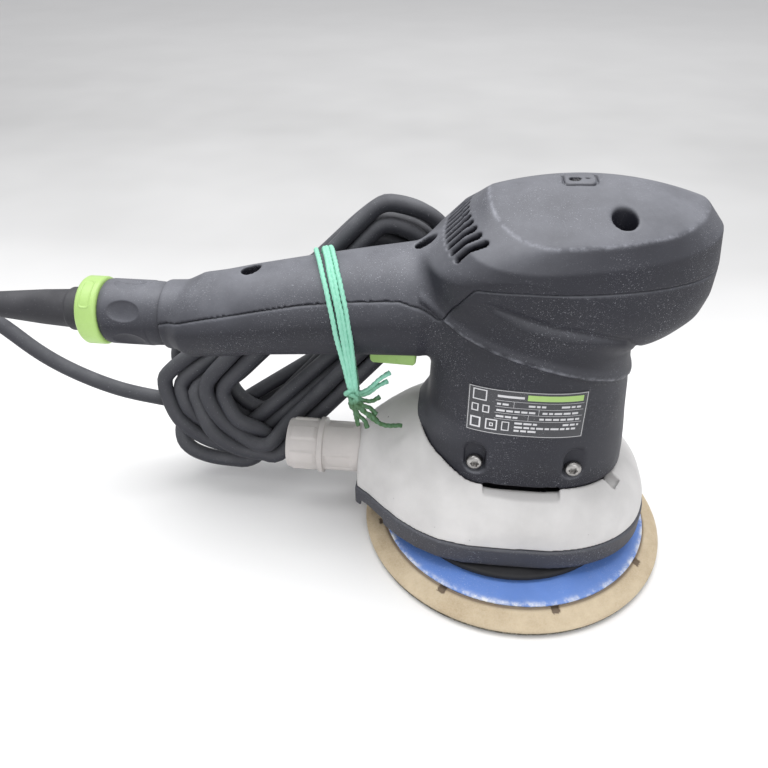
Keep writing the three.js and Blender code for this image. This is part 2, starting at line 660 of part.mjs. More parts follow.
// -----------------------------------------------------------------------------------------------------
// Pad
// -----------------------------------------------------------------------------------------------------
const PAD_HOLES = { count: 8, inner: 34, outer: 60, radius: 4.5 };
function padHoles(radii, low, high) {
  const holes = [];
  for (const radius of radii) {
    for (let i = 0; i < PAD_HOLES.count; i += 1) {
      const angle = ((i + 0.5) * 2 * Math.PI) / PAD_HOLES.count;
      const [x, y] = [radius * Math.cos(angle), radius * Math.sin(angle)];
      holes.push(barAt(x, y, low, PAD_HOLES.radius, high - low, 8));
    }
  }
  return holes;
}

const hookFace = () =>
  cut(turned([[9, 0], [74, 0], [74.4, HOOK_THICKNESS], [9, HOOK_THICKNESS]], 36), ...padHoles([34, 60], -1, 3));
const padFoam = () => {
  const foot = HOOK_THICKNESS + GAP;
  const body = turned([
    [9, foot], [PAD_RADIUS - 0.4, foot], [PAD_RADIUS, 3.2], [72.5, 6.2], [PLATE_RADIUS, PAD_EDGE_HEIGHT],
    [9, PAD_EDGE_HEIGHT],
  ], 36);
  return cut(body, ...padHoles([34, 60], 0, 12));
};
const padPlate = () => {
  const foot = PAD_EDGE_HEIGHT + GAP;
  const body = turned([
    [3 + GAP, foot], [PLATE_RADIUS, foot], [PLATE_RADIUS, foot + 1.3], [51, 13], [3 + GAP, 13],
  ], 36);
  return cut(body, ...padHoles([34], 5, 20));
};
const padSpindle = () => turned([
  [0, 32], [3 + GAP, 32], [3 + GAP, 13.3], [13, 13.3], [13, 16.5], [6, 16.5], [6, 37], [0, 37],
], 20);
const padBolt = () => {
  const body = turned([[0, 4.2], [6.8, 4.2], [7.5, 5], [7.5, 8.9], [3, 8.9], [3, 30], [0, 30]], 20);
  return cut(body, barAt(0, 0, 0, 3.4, 7, 6));
};
const brakeRing = () => onMotor([
  [43, 13.5], [49, 13.5], [49, 17.7], [45.7, 17.7], [45.7, 22], [43, 22],
], 28);

// -----------------------------------------------------------------------------------------------------
// Trigger, dial and electrics
// -----------------------------------------------------------------------------------------------------
function trigger() {
  const { rear, front, half, pinX, pinZ } = TRIGGER;
  const paddle = sideSlab([
    [rear, 97.2], [rear + 1.5, 96.2], [front - 1.5, 95.6], [front, 96.8], [front, 104], [pinX + 3, pinZ - 3],
    [pinX + 3, pinZ + 3], [pinX - 3, pinZ + 3], [front - 4, 105.5], [rear, 104.5],
  ], 2 * half);
  return cut(paddle, crossBar(pinX, 0, pinZ, 1.5 + HALF_GAP, 20, 12));
}

const SPRING = { x: -66, low: 105.4, radius: 2.4, wire: 0.5, turns: 3, rise: 4.6 };
function triggerSpring() {
  const points = [];
  const count = SPRING.turns * 8;
  for (let i = 0; i <= count; i += 1) {
    const angle = (i / 8) * 2 * Math.PI;
    const height = SPRING.low + (i / count) * SPRING.rise;
    points.push([SPRING.x + SPRING.radius * Math.cos(angle), SPRING.radius * Math.sin(angle), height]);
  }
  return tube(points, SPRING.wire, 5, count);
}

const switchUnit = () =>
  cut(block([-84, -7.5, 109.5], [-58, 7.5, 128]), barAt(SPRING.x, 0, 100, 3.4, 17, 14));
const triggerPin = () => crossBar(TRIGGER.pinX, 0, TRIGGER.pinZ, 1.5, 18.6, 12);

const dialWheel = () => {
  const notches = [];
  for (let i = 0; i < 12; i += 1) {
    notches.push(crossBar(DIAL.radius + 0.3, 0, 0, 0.9, 10, 6)
      .rotateY((i * Math.PI) / 6)
      .translate(DIAL.x, 0, DIAL.z));
  }
  const disc = crossBar(DIAL.x, 0, DIAL.z, DIAL.radius, 2 * DIAL.half, 24);
  return cut(disc, crossBar(DIAL.x, 0, DIAL.z, 1.5 + HALF_GAP, 20, 12), ...notches);
};
const dialAxle = () => crossBar(DIAL.x, 0, DIAL.z, 1.5, 13.6, 12);
const controlBoard = () => block([32, -14, 140], [54, 14, 141.6]);

// -----------------------------------------------------------------------------------------------------
// Plug connector at the handle's end
// -----------------------------------------------------------------------------------------------------
/** The plug's core reaches through the lock sleeve to the socket, with three contact pins in front. */
function plugInsert() {
  const core = onPlug([[0, -203.8], [8.6, -203.8], [8.6, -152], [0, -152]], 20);
  const pins = [0, 1, 2].map((i) => longBar(-153, 0, 0, 1.6, 11, 10)
    .translate(0, 4.4, 0)
    .rotateX((i * 2 * Math.PI) / 3)
    .translate(0, 0, PLUG_HEIGHT));
  return join(core, ...pins);
}
function plugSocket() {
  const body = onPlug([[0, -151.4], [12, -151.4], [12, -138], [0, -138]], 20);
  const holes = [0, 1, 2].map((i) => longBar(-160, 0, 0, 1.6 + GAP, 19, 10)
    .translate(0, 4.4, 0)
    .rotateX((i * 2 * Math.PI) / 3)
    .translate(0, 0, PLUG_HEIGHT));
  return cut(body, ...holes);
}

/** The sleeve that is gripped to lock the plug, with six finger dimples. */
function lockSleeve() {
  const { rear, front, radius } = SLEEVE;
  const body = onPlug([
    [9.1, rear], [radius - 0.6, rear], [radius, rear + 3], [radius, front - 6], [radius - 0.8, front - 5.4],
    [radius - 0.8, front], [9.1, front],
  ], 20);
  const dimples = [];
  for (let i = 0; i < 6; i += 1) {
    dimples.push(new THREE.SphereGeometry(1, 8, 5)
      .scale(9, 4.2, 2.2)
      .translate(rear + 13, 0, radius + 0.8)
      .rotateX(((i + 0.5) * Math.PI) / 3)
      .translate(0, 0, PLUG_HEIGHT));
  }
  return cut(body, ...dimples);
}
const lockRing = () => onPlug([
  [9.1, RING.rear], [RING.radius - 1, RING.rear], [RING.radius, RING.rear + 1], [RING.radius, RING.front - 1],
  [RING.radius - 1, RING.front], [9.1, RING.front],
], 24);
/** The tapered sleeve that keeps the cord from kinking. */
const cordBoot = () => onPlug([
  [0, BOOT.rear], [BOOT.narrow, BOOT.rear], [BOOT.narrow + 0.6, BOOT.rear + 6],
  [BOOT.wide - 1.2, BOOT.front - 16], [BOOT.wide, BOOT.front - 8], [BOOT.wide + 0.6, BOOT.front], [0, BOOT.front],
], 20);

// -----------------------------------------------------------------------------------------------------
// Mains lead: from the boot round a wide bend into the hank, and from the hank to the plug behind the tool
// -----------------------------------------------------------------------------------------------------
const LEAD_ROUTE = [
  [BOOT.rear - GAP, 0, 112], [-275, -1, 112], [-289, -6, 111], [-305, -14, 108], [-323, -18, 104],
  [-340, -10, 100],
  [-348, 7, 97], [-344, 25, 95], [-330, 37, 94], [-313, 39, 94], [-297, 33, 93], [-282, 25, 91.5],
  [-268, 20.5, 87.5], [-255, 20, 75], [-241, 20, 64.5], [-223, 20, 55.5], [-206, 19.4, 49.6],
  [-190.4, 19, 45.8],
];
const HANK = { low: [-153, 26, 45], high: [-60, 59, 120], lowRadius: 36, highRadius: 26, depth: 26 };
const TAIL_ROUTE = [
  [-119.4, 30.8, 24.8], [-114, 34, 17], [-105, 41, 9.5], [-92, 51, 5.2], [-76, 61, 4.2], [-60, 70, 4.2],
  [-46, 80, 4.4],
  [-40, 91, 7], [-31, 99.5, 12], [-22, 102, 16.3], [-12.4, 102, 17],
];
const PLUG_AT = { x: -12, y: 102, z: 17 };

/** The hank: two round ends of unlike size joined by straight sides, extruded across its turns. */
function cordHank() {
  const [low, high] = [new THREE.Vector3(...HANK.low), new THREE.Vector3(...HANK.high)];
  const along = high.clone().sub(low);
  const span = along.length();
  along.normalize();
  const facing = new THREE.Vector3(0.2, -0.95, 0.2);
  facing.addScaledVector(along, -facing.dot(along)).normalize();
  const across = new THREE.Vector3().crossVectors(facing, along);
  const lean = Math.asin((HANK.lowRadius - HANK.highRadius) / span);
  const outline = new THREE.Shape();
  outline.absarc(span, 0, HANK.highRadius, lean - Math.PI / 2, Math.PI / 2 - lean);
  outline.absarc(0, 0, HANK.lowRadius, Math.PI / 2 - lean, (3 * Math.PI) / 2 + lean);
  const frame = new THREE.Matrix4().makeBasis(along, across, facing).setPosition(low);
  return new THREE.ExtrudeGeometry(outline, { depth: HANK.depth, bevelEnabled: false, curveSegments: 10 })
    .translate(0, 0, -HANK.depth / 2)
    .applyMatrix4(frame);
}

/** A round mains plug with two pins, lying on its side and pointing along X. */
function mainsPlug() {
  const body = turned([
    [0, 0], [4.6, 0], [6.5, 12], [9.5, 22], [15.5, 26], [16.8, 29], [16.8, 46], [0, 46],
  ], 18);
  const pins = [-9.5, 9.5].map((offset) => barAt(offset, 0, 45, 2.4, 19, 8));
  const whole = toGeometry(join(body, ...pins));
  return whole.rotateX(Math.PI / 2).rotateZ(Math.PI / 2).translate(PLUG_AT.x, PLUG_AT.y, PLUG_AT.z);
}

// A length of string ties the hank to the handle: a band of turns, and two tails that fall from its knot.
const TIE = { x: -84.5, lean: 0.27, inner: 25.4, outer: 27.8, width: 6 };
function cordTie() {
  const { z } = handleAt(TIE.x);
  const half = TIE.width / 2;
  return turned([[TIE.inner, -half], [TIE.outer, -half], [TIE.outer, half], [TIE.inner, half]], 24)
    .rotateY(Math.PI / 2 - TIE.lean)
    .translate(TIE.x, 0, z);
}
const TIE_TAIL_ROUTE = [
  [-69, -24, 61], [-71.5, -24.5, 70], [-74.5, -24, 80], [-76.5, -22.6, 88], [-76, -22, 91.5], [-73.5, -22, 89],
  [-70, -21.6, 82], [-65.5, -20.5, 75], [-59.5, -18, 72], [-52.5, -14.5, 73.5],
];

// -----------------------------------------------------------------------------------------------------
// The tool, piece by piece
// -----------------------------------------------------------------------------------------------------
const tool = new THREE.Group();
tool.position.x = TOOL_SHIFT;

function add(name, shape, look) {
  const mesh = new THREE.Mesh(toGeometry(shape), look);
  mesh.geometry.computeVertexNormals();
  mesh.name = name;
  tool.add(mesh);
  return mesh;
}

add('motor_housing', motorHousing(), LOOK.housing);
add('top_cover', topCover(), LOOK.housing);
add('dust_hood', dustHood(), LOOK.hood);
add('hood_skirt', hoodSkirt(), LOOK.skirt);
add('dust_port', dustPort(), LOOK.port);
add('brake_ring', brakeRing(), LOOK.rubber);
add('rating_plate', ratingPlate(), LOOK.label);

HOOD_SCREWS.forEach(({ x, side }, i) => {
  const mesh = add(`hood_screw_${i + 1}`, screw(7.5), LOOK.steel);
  mesh.rotation.x = (-side * Math.PI) / 2;
  mesh.position.set(x, side * (HOOD_SCREW.seat + HALF_GAP), HOOD_SCREW.z);
});
COVER_SCREWS.forEach(({ x, y, seat, foot }, i) => {
  const name = i < HEAD_SCREWS.length ? `head_screw_${i + 1}` : `handle_screw_${i - HEAD_SCREWS.length + 1}`;
  const mesh = add(name, screw(Math.min(seat - foot - 4, 15)), LOOK.steel);
  mesh.position.set(x, y, seat + GAP);
});

add('bearing_plate', bearingPlate(), LOOK.castAlloy);
add('bearing_bridge', bearingBridge(), LOOK.castAlloy);
add('stator_core', statorCore(), LOOK.steel);
add('lower_bearing_outer_race', onMotor(outerRace(BEARINGS.lower)), LOOK.steel);
add('upper_bearing_outer_race', onMotor(outerRace(BEARINGS.upper)), LOOK.steel);
for (const [name, side] of [['left', 1], ['right', -1]]) {
  add(`field_coil_${name}`, fieldCoil(side), LOOK.copper);
  add(`brush_holder_${name}`, brushHolder(side), LOOK.brass);
  add(`carbon_brush_${name}`, carbonBrush(side), LOOK.carbon);
}
add('switch_unit', switchUnit(), LOOK.innerPlastic);
add('trigger_pin', triggerPin(), LOOK.steel);
add('control_board', controlBoard(), LOOK.board);
add('dial_axle', dialAxle(), LOOK.steel);
add('plug_socket', plugSocket(), LOOK.innerPlastic);
add('plug_insert', plugInsert(), LOOK.innerPlastic);
add('cord_boot', cordBoot(), LOOK.rubber);

add('motor_shaft', motorShaft(), LOOK.steel);
add('armature_core', armatureCore(), LOOK.steel);
add('commutator', commutator(), LOOK.copper);
add('cooling_fan', coolingFan(), LOOK.innerPlastic);
add('dust_fan', dustFan(), LOOK.innerPlastic);
add('counterweight', counterweight(), LOOK.castAlloy);
add('lower_bearing_inner_race', onMotor(innerRace(BEARINGS.lower)), LOOK.steel);
add('upper_bearing_inner_race', onMotor(innerRace(BEARINGS.upper)), LOOK.steel);
add('pad_bearing_outer_race', turned(outerRace(BEARINGS.pad)), LOOK.steel);

add('pad_bearing_inner_race', turned(innerRace(BEARINGS.pad)), LOOK.steel);
add('pad_spindle', padSpindle(), LOOK.steel);
add('pad_plate', padPlate(), LOOK.blue);
add('pad_foam', padFoam(), LOOK.foam);
add('hook_face', hookFace(), LOOK.hook);
add('pad_bolt', padBolt(), LOOK.steel);

add('trigger', trigger(), LOOK.trigger);
add('trigger_spring', triggerSpring(), LOOK.steel);
add('speed_dial', dialWheel(), LOOK.innerPlastic);
add('lock_sleeve', lockSleeve(), LOOK.housing);
add('lock_ring', lockRing(), LOOK.accent);

add('cord_lead', tube(LEAD_ROUTE, CORD_RADIUS, 8, 24), LOOK.cord);
add('cord_hank', cordHank(), LOOK.cord);
add('cord_tail', tube(TAIL_ROUTE, CORD_RADIUS, 8, 14), LOOK.cord);
add('mains_plug', mainsPlug(), LOOK.cord);
add('cord_tie', cordTie(), LOOK.string);
add('tie_tail', tube(TIE_TAIL_ROUTE, STRING_RADIUS, 8, 14), LOOK.string);

export default tool;
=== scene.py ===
"""Looks for a hand-held random-orbit polisher and sander with a tied mains lead.

Shapes are written in millimetres about the pad's axis, as in the CAD source, and turned into metres in the
row frame by metres(). Large moulded shells are cut from distance fields, round pieces are turned, and cords
are splines.
"""
import math

import bpy
import numpy as np
import openvdb
from mathutils import Matrix, Vector
from mathutils.geometry import convex_hull_2d


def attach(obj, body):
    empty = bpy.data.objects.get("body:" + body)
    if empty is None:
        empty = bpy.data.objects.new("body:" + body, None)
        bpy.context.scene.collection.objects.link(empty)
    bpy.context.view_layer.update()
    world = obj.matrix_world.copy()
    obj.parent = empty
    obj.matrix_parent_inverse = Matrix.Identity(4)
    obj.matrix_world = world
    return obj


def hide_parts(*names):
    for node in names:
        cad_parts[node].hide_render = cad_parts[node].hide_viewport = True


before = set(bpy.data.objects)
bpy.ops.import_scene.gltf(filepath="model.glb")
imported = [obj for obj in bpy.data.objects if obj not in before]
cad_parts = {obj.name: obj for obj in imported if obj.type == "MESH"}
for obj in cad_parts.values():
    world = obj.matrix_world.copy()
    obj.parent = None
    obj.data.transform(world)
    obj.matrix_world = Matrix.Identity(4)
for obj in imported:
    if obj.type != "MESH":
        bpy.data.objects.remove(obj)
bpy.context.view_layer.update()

TOOL_SHIFT = 93.5


def metres(points):
    """Millimetres about the pad's axis, as metres in the row frame."""
    return (np.asarray(points, float) + [TOOL_SHIFT, 0, 0]) * 0.001


# ---- Camera, light and floor ----
CAMERA_AT = (0.0612, -0.2776, 0.2765)  # metres
CAMERA_YAW, CAMERA_PITCH, CAMERA_ROLL = -6.88, 35.10, -0.29  # degrees


def add_camera():
    yaw, pitch, roll = math.radians(CAMERA_YAW), math.radians(CAMERA_PITCH), math.radians(CAMERA_ROLL)
    ahead = Vector((math.sin(yaw) * math.cos(pitch), math.cos(yaw) * math.cos(pitch), -math.sin(pitch)))
    right = Vector((math.cos(yaw), -math.sin(yaw), 0))
    up = right.cross(ahead)
    turned_right = right * math.cos(roll) + up * math.sin(roll)
    turned_up = up * math.cos(roll) - right * math.sin(roll)
    data = bpy.data.cameras.new("camera")
    data.sensor_width = 36
    data.lens = 33.75
    camera = bpy.data.objects.new("camera", data)
    bpy.context.scene.collection.objects.link(camera)
    rotation = np.array([turned_right, turned_up, -ahead]).T
    camera.matrix_world = Matrix.Translation(CAMERA_AT) @ Matrix(rotation.tolist()).to_4x4()
    bpy.context.scene.camera = camera


def add_area(name, place, aim, size, power):
    data = bpy.data.lights.new(name, "AREA")
    data.shape = "RECTANGLE"
    data.size, data.size_y = size
    data.energy = power
    lamp = bpy.data.objects.new(name, data)
    bpy.context.scene.collection.objects.link(lamp)
    lamp.location = place
    lamp.rotation_euler = (Vector(aim) - Vector(place)).to_track_quat("-Z", "Y").to_euler()


def add_surroundings():
    world = bpy.data.worlds.new("studio")
    world.use_nodes = True
    background = world.node_tree.nodes["Background"]
    background.inputs["Color"].default_value = (0.97, 0.97, 0.985, 1)
    background.inputs["Strength"].default_value = 0.62
    bpy.context.scene.world = world
    bpy.context.scene.view_settings.view_transform = "Standard"
    add_area("overhead", (-0.05, 0.2, 1.2), (0.05, 0.0, 0.05), (1.4, 1.0), 17)
    add_area("front_fill", (0.5, -1.2, 0.75), (0.05, 0.0, 0.08), (0.9, 0.7), 5)
    size = 6.0
    verts = [(-size, -size, 0), (size, -size, 0), (size, size, 0), (-size, size, 0)]
    mesh = bpy.data.meshes.new("floor")
    mesh.from_pydata(verts, [], [(0, 1, 2, 3)])
    floor = bpy.data.objects.new("floor", mesh)
    floor.location.z = -0.0004
    bpy.context.scene.collection.objects.link(floor)
    material, tree, shader = new_material("floor", (0.86, 0.86, 0.87), 0.75)
    # painted shade: the floor darkens away from the camera out to about 0.7 m and lightens again beyond,
    # standing in for how the light falls
    far = maths(tree, "MULTIPLY", height_of(tree, "Y"), 0.5)
    painted_floor_shade = ramp(tree, far, [(0.03, 0.90), (0.10, 0.68), (0.16, 0.53), (0.34, 0.49), (0.67, 0.715),
                             (1.0, 0.78)])
    patch = ramp(tree, noise(tree, 6, detail=2), [(0.3, 0.0), (0.7, 0.12)])
    colour_from(tree, shader, mix(tree, patch, painted_floor_shade, (0.95, 0.95, 0.95)))
    mesh.materials.append(material)


# ---- Materials ----
def new_material(name, colour, roughness, metallic=0.0):
    material = bpy.data.materials.new(name)
    material.use_nodes = True
    tree = material.node_tree
    shader = tree.nodes["Principled BSDF"]
    shader.inputs["Base Color"].default_value = (*colour, 1)
    shader.inputs["Roughness"].default_value = roughness
    shader.inputs["Metallic"].default_value = metallic
    material.diffuse_color = (*colour, 1)
    return material, tree, shader


def link(tree, output, target):
    tree.links.new(output, target)


def coordinates(tree, scale=(1, 1, 1), turn=(0, 0, 0)):
    """Object coordinates in metres, stretched and turned."""
    source = tree.nodes.new("ShaderNodeTexCoord")
    mapping = tree.nodes.new("ShaderNodeMapping")
    mapping.inputs["Scale"].default_value = scale
    mapping.inputs["Rotation"].default_value = turn
    link(tree, source.outputs["Object"], mapping.inputs["Vector"])
    return mapping.outputs["Vector"]


def noise(tree, scale, detail=4.0, roughness=0.55, distortion=0.0, place=None):
    node = tree.nodes.new("ShaderNodeTexNoise")
    node.inputs["Scale"].default_value = scale
    node.inputs["Detail"].default_value = detail
    node.inputs["Roughness"].default_value = roughness
    node.inputs["Distortion"].default_value = distortion
    link(tree, place or coordinates(tree), node.inputs["Vector"])
    return node.outputs["Fac"]


def cells(tree, scale):
    node = tree.nodes.new("ShaderNodeTexVoronoi")
    node.inputs["Scale"].default_value = scale
    link(tree, coordinates(tree), node.inputs["Vector"])
    return node.outputs["Distance"]


def ramp(tree, factor, stops):
    """A colour or grey ramp. A stop is (position, colour) or (position, value)."""
    node = tree.nodes.new("ShaderNodeValToRGB")
    elements = node.color_ramp.elements
    while len(elements) < len(stops):
        elements.new(0.5)
    for element, (position, value) in zip(elements, stops):
        element.position = position
        element.color = (*value, 1) if isinstance(value, tuple) else (value, value, value, 1)
    link(tree, factor, node.inputs["Fac"])
    return node.outputs["Color"]


def maths(tree, operation, a, b=0.0):
    node = tree.nodes.new("ShaderNodeMath")
    node.operation = operation
    for socket, value in zip(node.inputs, (a, b)):
        if isinstance(value, (int, float)):
            socket.default_value = value
        else:
            link(tree, value, socket)
    return node.outputs[0]


def mix(tree, factor, a, b):
    """Colour b over colour a. Each is a socket or a plain colour."""
    node = tree.nodes.new("ShaderNodeMix")
    node.data_type = "RGBA"
    sockets = [node.inputs["Factor"], *[s for s in node.inputs if s.type == "RGBA"]]
    for socket, value in zip(sockets, (factor, a, b)):
        if isinstance(value, tuple):
            socket.default_value = (*value, 1)
        elif isinstance(value, (int, float)):
            socket.default_value = value
        else:
            link(tree, value, socket)
    return next(s for s in node.outputs if s.type == "RGBA")


def facing_up(tree):
    """How far the surface faces upwards, from 0 to 1."""
    geometry = tree.nodes.new("ShaderNodeNewGeometry")
    split = tree.nodes.new("ShaderNodeSeparateXYZ")
    link(tree, geometry.outputs["Normal"], split.inputs[0])
    return maths(tree, "MAXIMUM", split.outputs["Z"], 0.0)


def height_of(tree, axis="Z"):
    """The place of the surface along an axis of the row frame at rest, in metres."""
    source = tree.nodes.new("ShaderNodeTexCoord")
    split = tree.nodes.new("ShaderNodeSeparateXYZ")
    link(tree, source.outputs["Object"], split.inputs[0])
    return split.outputs[axis]


def attribute(tree, name):
    node = tree.nodes.new("ShaderNodeAttribute")
    node.attribute_name = name
    return node.outputs["Fac"]


def colour_from(tree, shader, output):
    link(tree, output, shader.inputs["Base Color"])


def roughness_from(tree, shader, factor, low, high):
    value = maths(tree, "MULTIPLY_ADD", factor, high - low)
    value.node.inputs[2].default_value = low
    link(tree, value, shader.inputs["Roughness"])


def bump(tree, shader, height, distance):
    """Adds a bump over any that is already there. distance is in metres."""
    node = tree.nodes.new("ShaderNodeBump")
    node.inputs["Distance"].default_value = distance
    node.inputs["Strength"].default_value = 1.0
    link(tree, height, node.inputs["Height"])
    socket = shader.inputs["Normal"]
    if socket.is_linked:
        link(tree, socket.links[0].from_socket, node.inputs["Normal"])
    link(tree, node.outputs["Normal"], socket)


def dusty_top_lit_plastic(name, colour, dust, roughness=0.5, dust_and_top_light_amount=0.35, specks=0.6, grain=0.00004, wear_and_highlight=None,
                  gloss=0.5, nicks=0.0):
    """Moulded plastic: a fine grain, a film of dust and painted top light on what faces up, pale specks and
    fine scratches.
    """
    material, tree, shader = new_material(name, colour, roughness)
    shader.inputs["Specular IOR Level"].default_value = gloss
    cloud = noise(tree, 22, detail=5)
    dark = tuple(0.86 * c for c in colour)
    light = tuple(1.18 * c for c in colour)
    base = mix(tree, ramp(tree, cloud, [(0.35, 0.0), (0.65, 1.0)]), dark, light)
    # painted top light, partly real dust: what faces up is lightened towards the dust colour
    film = maths(tree, "MULTIPLY", facing_up(tree), ramp(tree, noise(tree, 45, detail=6, roughness=0.65),
                                                         [(0.25, 0.45), (0.75, 1.0)]))
    dusted_and_top_lit = mix(tree, maths(tree, "MULTIPLY", film, dust_and_top_light_amount), base, dust)
    patches = ramp(tree, noise(tree, 38, detail=3), [(0.42, 0.12), (0.62, 1.0)])
    dots = ramp(tree, noise(tree, 1900, detail=3, roughness=0.75), [(0.63, 0.0), (0.67, 1.0)])
    stretched = coordinates(tree, (1, 7, 5), (0.5, 0.3, 0.8))
    lines = ramp(tree, noise(tree, 300, detail=4, roughness=0.75, distortion=1.8, place=stretched),
                 [(0.645, 0.0), (0.67, 1.0)])
    marks = maths(tree, "MULTIPLY", maths(tree, "MAXIMUM", dots, lines), patches)
    bright = tuple(min(1, 2.2 * c + 0.12) for c in dust)
    marked = mix(tree, maths(tree, "MULTIPLY", marks, specks), dusted_and_top_lit, bright)
    # a point attribute lightens the colour: real wear on the pad plate's rim, and painted highlight along the
    # housing's ridge and above its fold
    if wear_and_highlight:
        rubbed_and_lit = maths(tree, "MULTIPLY", attribute(tree, "wear_and_highlight"),
                       ramp(tree, noise(tree, 150, detail=5, roughness=0.75), [(0.42, 0.08), (0.62, 1.0)]))
        marked = mix(tree, rubbed_and_lit, marked, wear_and_highlight)
    if nicks:
        dents = ramp(tree, noise(tree, 210, detail=2, roughness=0.5), [(0.74, 0.0), (0.76, nicks)])
        marked = mix(tree, dents, marked, (0.10, 0.10, 0.10))
    colour_from(tree, shader, marked)
    roughness_from(tree, shader, noise(tree, 90, detail=4), roughness - 0.1, roughness + 0.14)
    bump(tree, shader, noise(tree, 1900, detail=2), grain)
    bump(tree, shader, marks, 0.00003)
    return material


def rubber(name, colour, dust, grain=900):
    material, tree, shader = new_material(name, colour, 0.62)
    shader.inputs["Specular IOR Level"].default_value = 0.35
    # painted top light, partly real dust: what faces up is lightened towards the dust colour
    film = maths(tree, "MULTIPLY", facing_up(tree),
                 ramp(tree, noise(tree, 60, detail=5), [(0.3, 0.3), (0.7, 1.0)]))
    base = mix(tree, maths(tree, "MULTIPLY", film, 0.5), colour, dust)
    spots = ramp(tree, noise(tree, 1300, detail=3, roughness=0.75), [(0.65, 0.0), (0.70, 0.4)])
    colour_from(tree, shader, mix(tree, spots, base, tuple(1.8 * c for c in dust)))
    roughness_from(tree, shader, noise(tree, 70), 0.5, 0.75)
    bump(tree, shader, noise(tree, grain, detail=2), 0.00005)
    return material


def metal(name, colour, roughness, brushed=None):
    material, tree, shader = new_material(name, colour, roughness, 1.0)
    place = coordinates(tree, brushed) if brushed else None
    streak = noise(tree, 420, detail=4, place=place)
    stains = ramp(tree, noise(tree, 130, detail=5), [(0.55, 0.0), (0.75, 0.4)])
    base = mix(tree, streak, tuple(0.8 * c for c in colour), colour)
    colour_from(tree, shader, mix(tree, stains, base, (0.25, 0.22, 0.2)))
    roughness_from(tree, shader, streak, roughness - 0.08, roughness + 0.18)
    bump(tree, shader, streak, 0.00002)
    return material


# ---- Meshes ----
def mesh_object(name, points, faces, material, smooth=True, sharp_above=None):
    """A mesh from millimetre points and a list or array of faces, its faces turned outwards."""
    mesh = bpy.data.meshes.new(name)
    mesh.from_pydata(metres(points).tolist(), [], [list(map(int, f)) for f in faces])
    mesh.validate()
    if smooth:
        mesh.polygons.foreach_set("use_smooth", [True] * len(mesh.polygons))
    mesh.materials.append(material)
    piece = bpy.data.objects.new(name, mesh)
    bpy.context.scene.collection.objects.link(piece)
    if volume_of(mesh) < 0:
        mesh.flip_normals()
    if sharp_above is not None:
        mesh.set_sharp_from_angle(angle=math.radians(sharp_above))
    return piece


def volume_of(mesh):
    mesh.calc_loop_triangles()
    points = np.empty(len(mesh.vertices) * 3)
    mesh.vertices.foreach_get("co", points)
    points = points.reshape(-1, 3)
    corners = np.empty(len(mesh.loop_triangles) * 3, int)
    mesh.loop_triangles.foreach_get("vertices", corners)
    a, b, c = (points[corners.reshape(-1, 3)[:, i]] for i in range(3))
    return float(np.einsum("ij,ij->i", a, np.cross(b, c)).sum())


def joined(pieces):
    """Several (points, faces) shells as one."""
    points, faces, start = [], [], 0
    for shell_points, shell_faces in pieces:
        points.append(np.asarray(shell_points, float))
        faces += [[i + start for i in face] for face in shell_faces]
        start += len(shell_points)
    return np.concatenate(points), faces


def rounded(profile, radius=0.4, steps=3, closed=False):
    """A profile with its corners turned into short curves."""
    points = [np.array(p, float) for p in profile]
    count = len(points)
    result = []
    for i, corner in enumerate(points):
        if not closed and i in (0, count - 1):
            result.append(corner)
            continue
        before, after = points[i - 1], points[(i + 1) % count]
        reach = min(radius, 0.45 * np.linalg.norm(before - corner), 0.45 * np.linalg.norm(after - corner))
        start = corner + (before - corner) * reach / max(np.linalg.norm(before - corner), 1e-9)
        end = corner + (after - corner) * reach / max(np.linalg.norm(after - corner), 1e-9)
        for t in np.linspace(0, 1, steps + 1):
            result.append((1 - t) ** 2 * start + 2 * t * (1 - t) * corner + t * t * end)
    return result


def grid_faces(rows, columns, wrap_rows=False):
    """Quads between rows of a grid whose columns close on themselves."""
    faces = []
    for i in range(rows if wrap_rows else rows - 1):
        for j in range(columns):
            k = (j + 1) % columns
            low, high = i * columns, ((i + 1) % rows) * columns
            faces.append((low + j, low + k, high + k, high + j))
    return faces


def turned(profile, segments=128, about="z", place=(0, 0, 0), shift=None):
    """A turned shell from [radius, along] pairs. Pairs on the axis close it. A ring profile closes itself.

    shift(radius, along, angle) may change the radius, for dimples and bosses.
    """
    on_axis = profile[0][0] < 1e-6
    rings = [p for p in profile if p[0] > 1e-6]
    angle = np.arange(segments) * 2 * math.pi / segments
    points = []
    for radius, along in rings:
        reach = np.full(segments, float(radius)) if shift is None else shift(radius, along, angle)
        points.append(np.stack([reach * np.cos(angle), reach * np.sin(angle), np.full(segments, along)], 1))
    faces = grid_faces(len(rings), segments, wrap_rows=not on_axis)
    flat = np.concatenate(points)
    if on_axis:
        first, last = len(flat), len(flat) + 1
        flat = np.concatenate([flat, [[0, 0, profile[0][1]], [0, 0, profile[-1][1]]]])
        top = (len(rings) - 1) * segments
        for j in range(segments):
            k = (j + 1) % segments
            faces.append((first, k, j))
            faces.append((last, top + j, top + k))
    if about == "x":
        flat = np.stack([flat[:, 2], flat[:, 0], flat[:, 1]], 1)
    return flat + np.array(place, float), faces


def catmull(points, spacing):
    """Evenly spaced points on a smooth curve through the given ones."""
    p = np.asarray(points, float)
    p = np.concatenate([[2 * p[0] - p[1]], p, [2 * p[-1] - p[-2]]])
    dense = []
    for i in range(1, len(p) - 2):
        a, b, c, d = p[i - 1 : i + 3]
        t = np.linspace(0, 1, 40, endpoint=False)[:, None]
        dense.append(0.5 * (2 * b + (c - a) * t + (2 * a - 5 * b + 4 * c - d) * t**2
                            + (3 * b - a - 3 * c + d) * t**3))
    dense = np.concatenate([*dense, [p[-2]]])
    return resampled(dense, spacing)


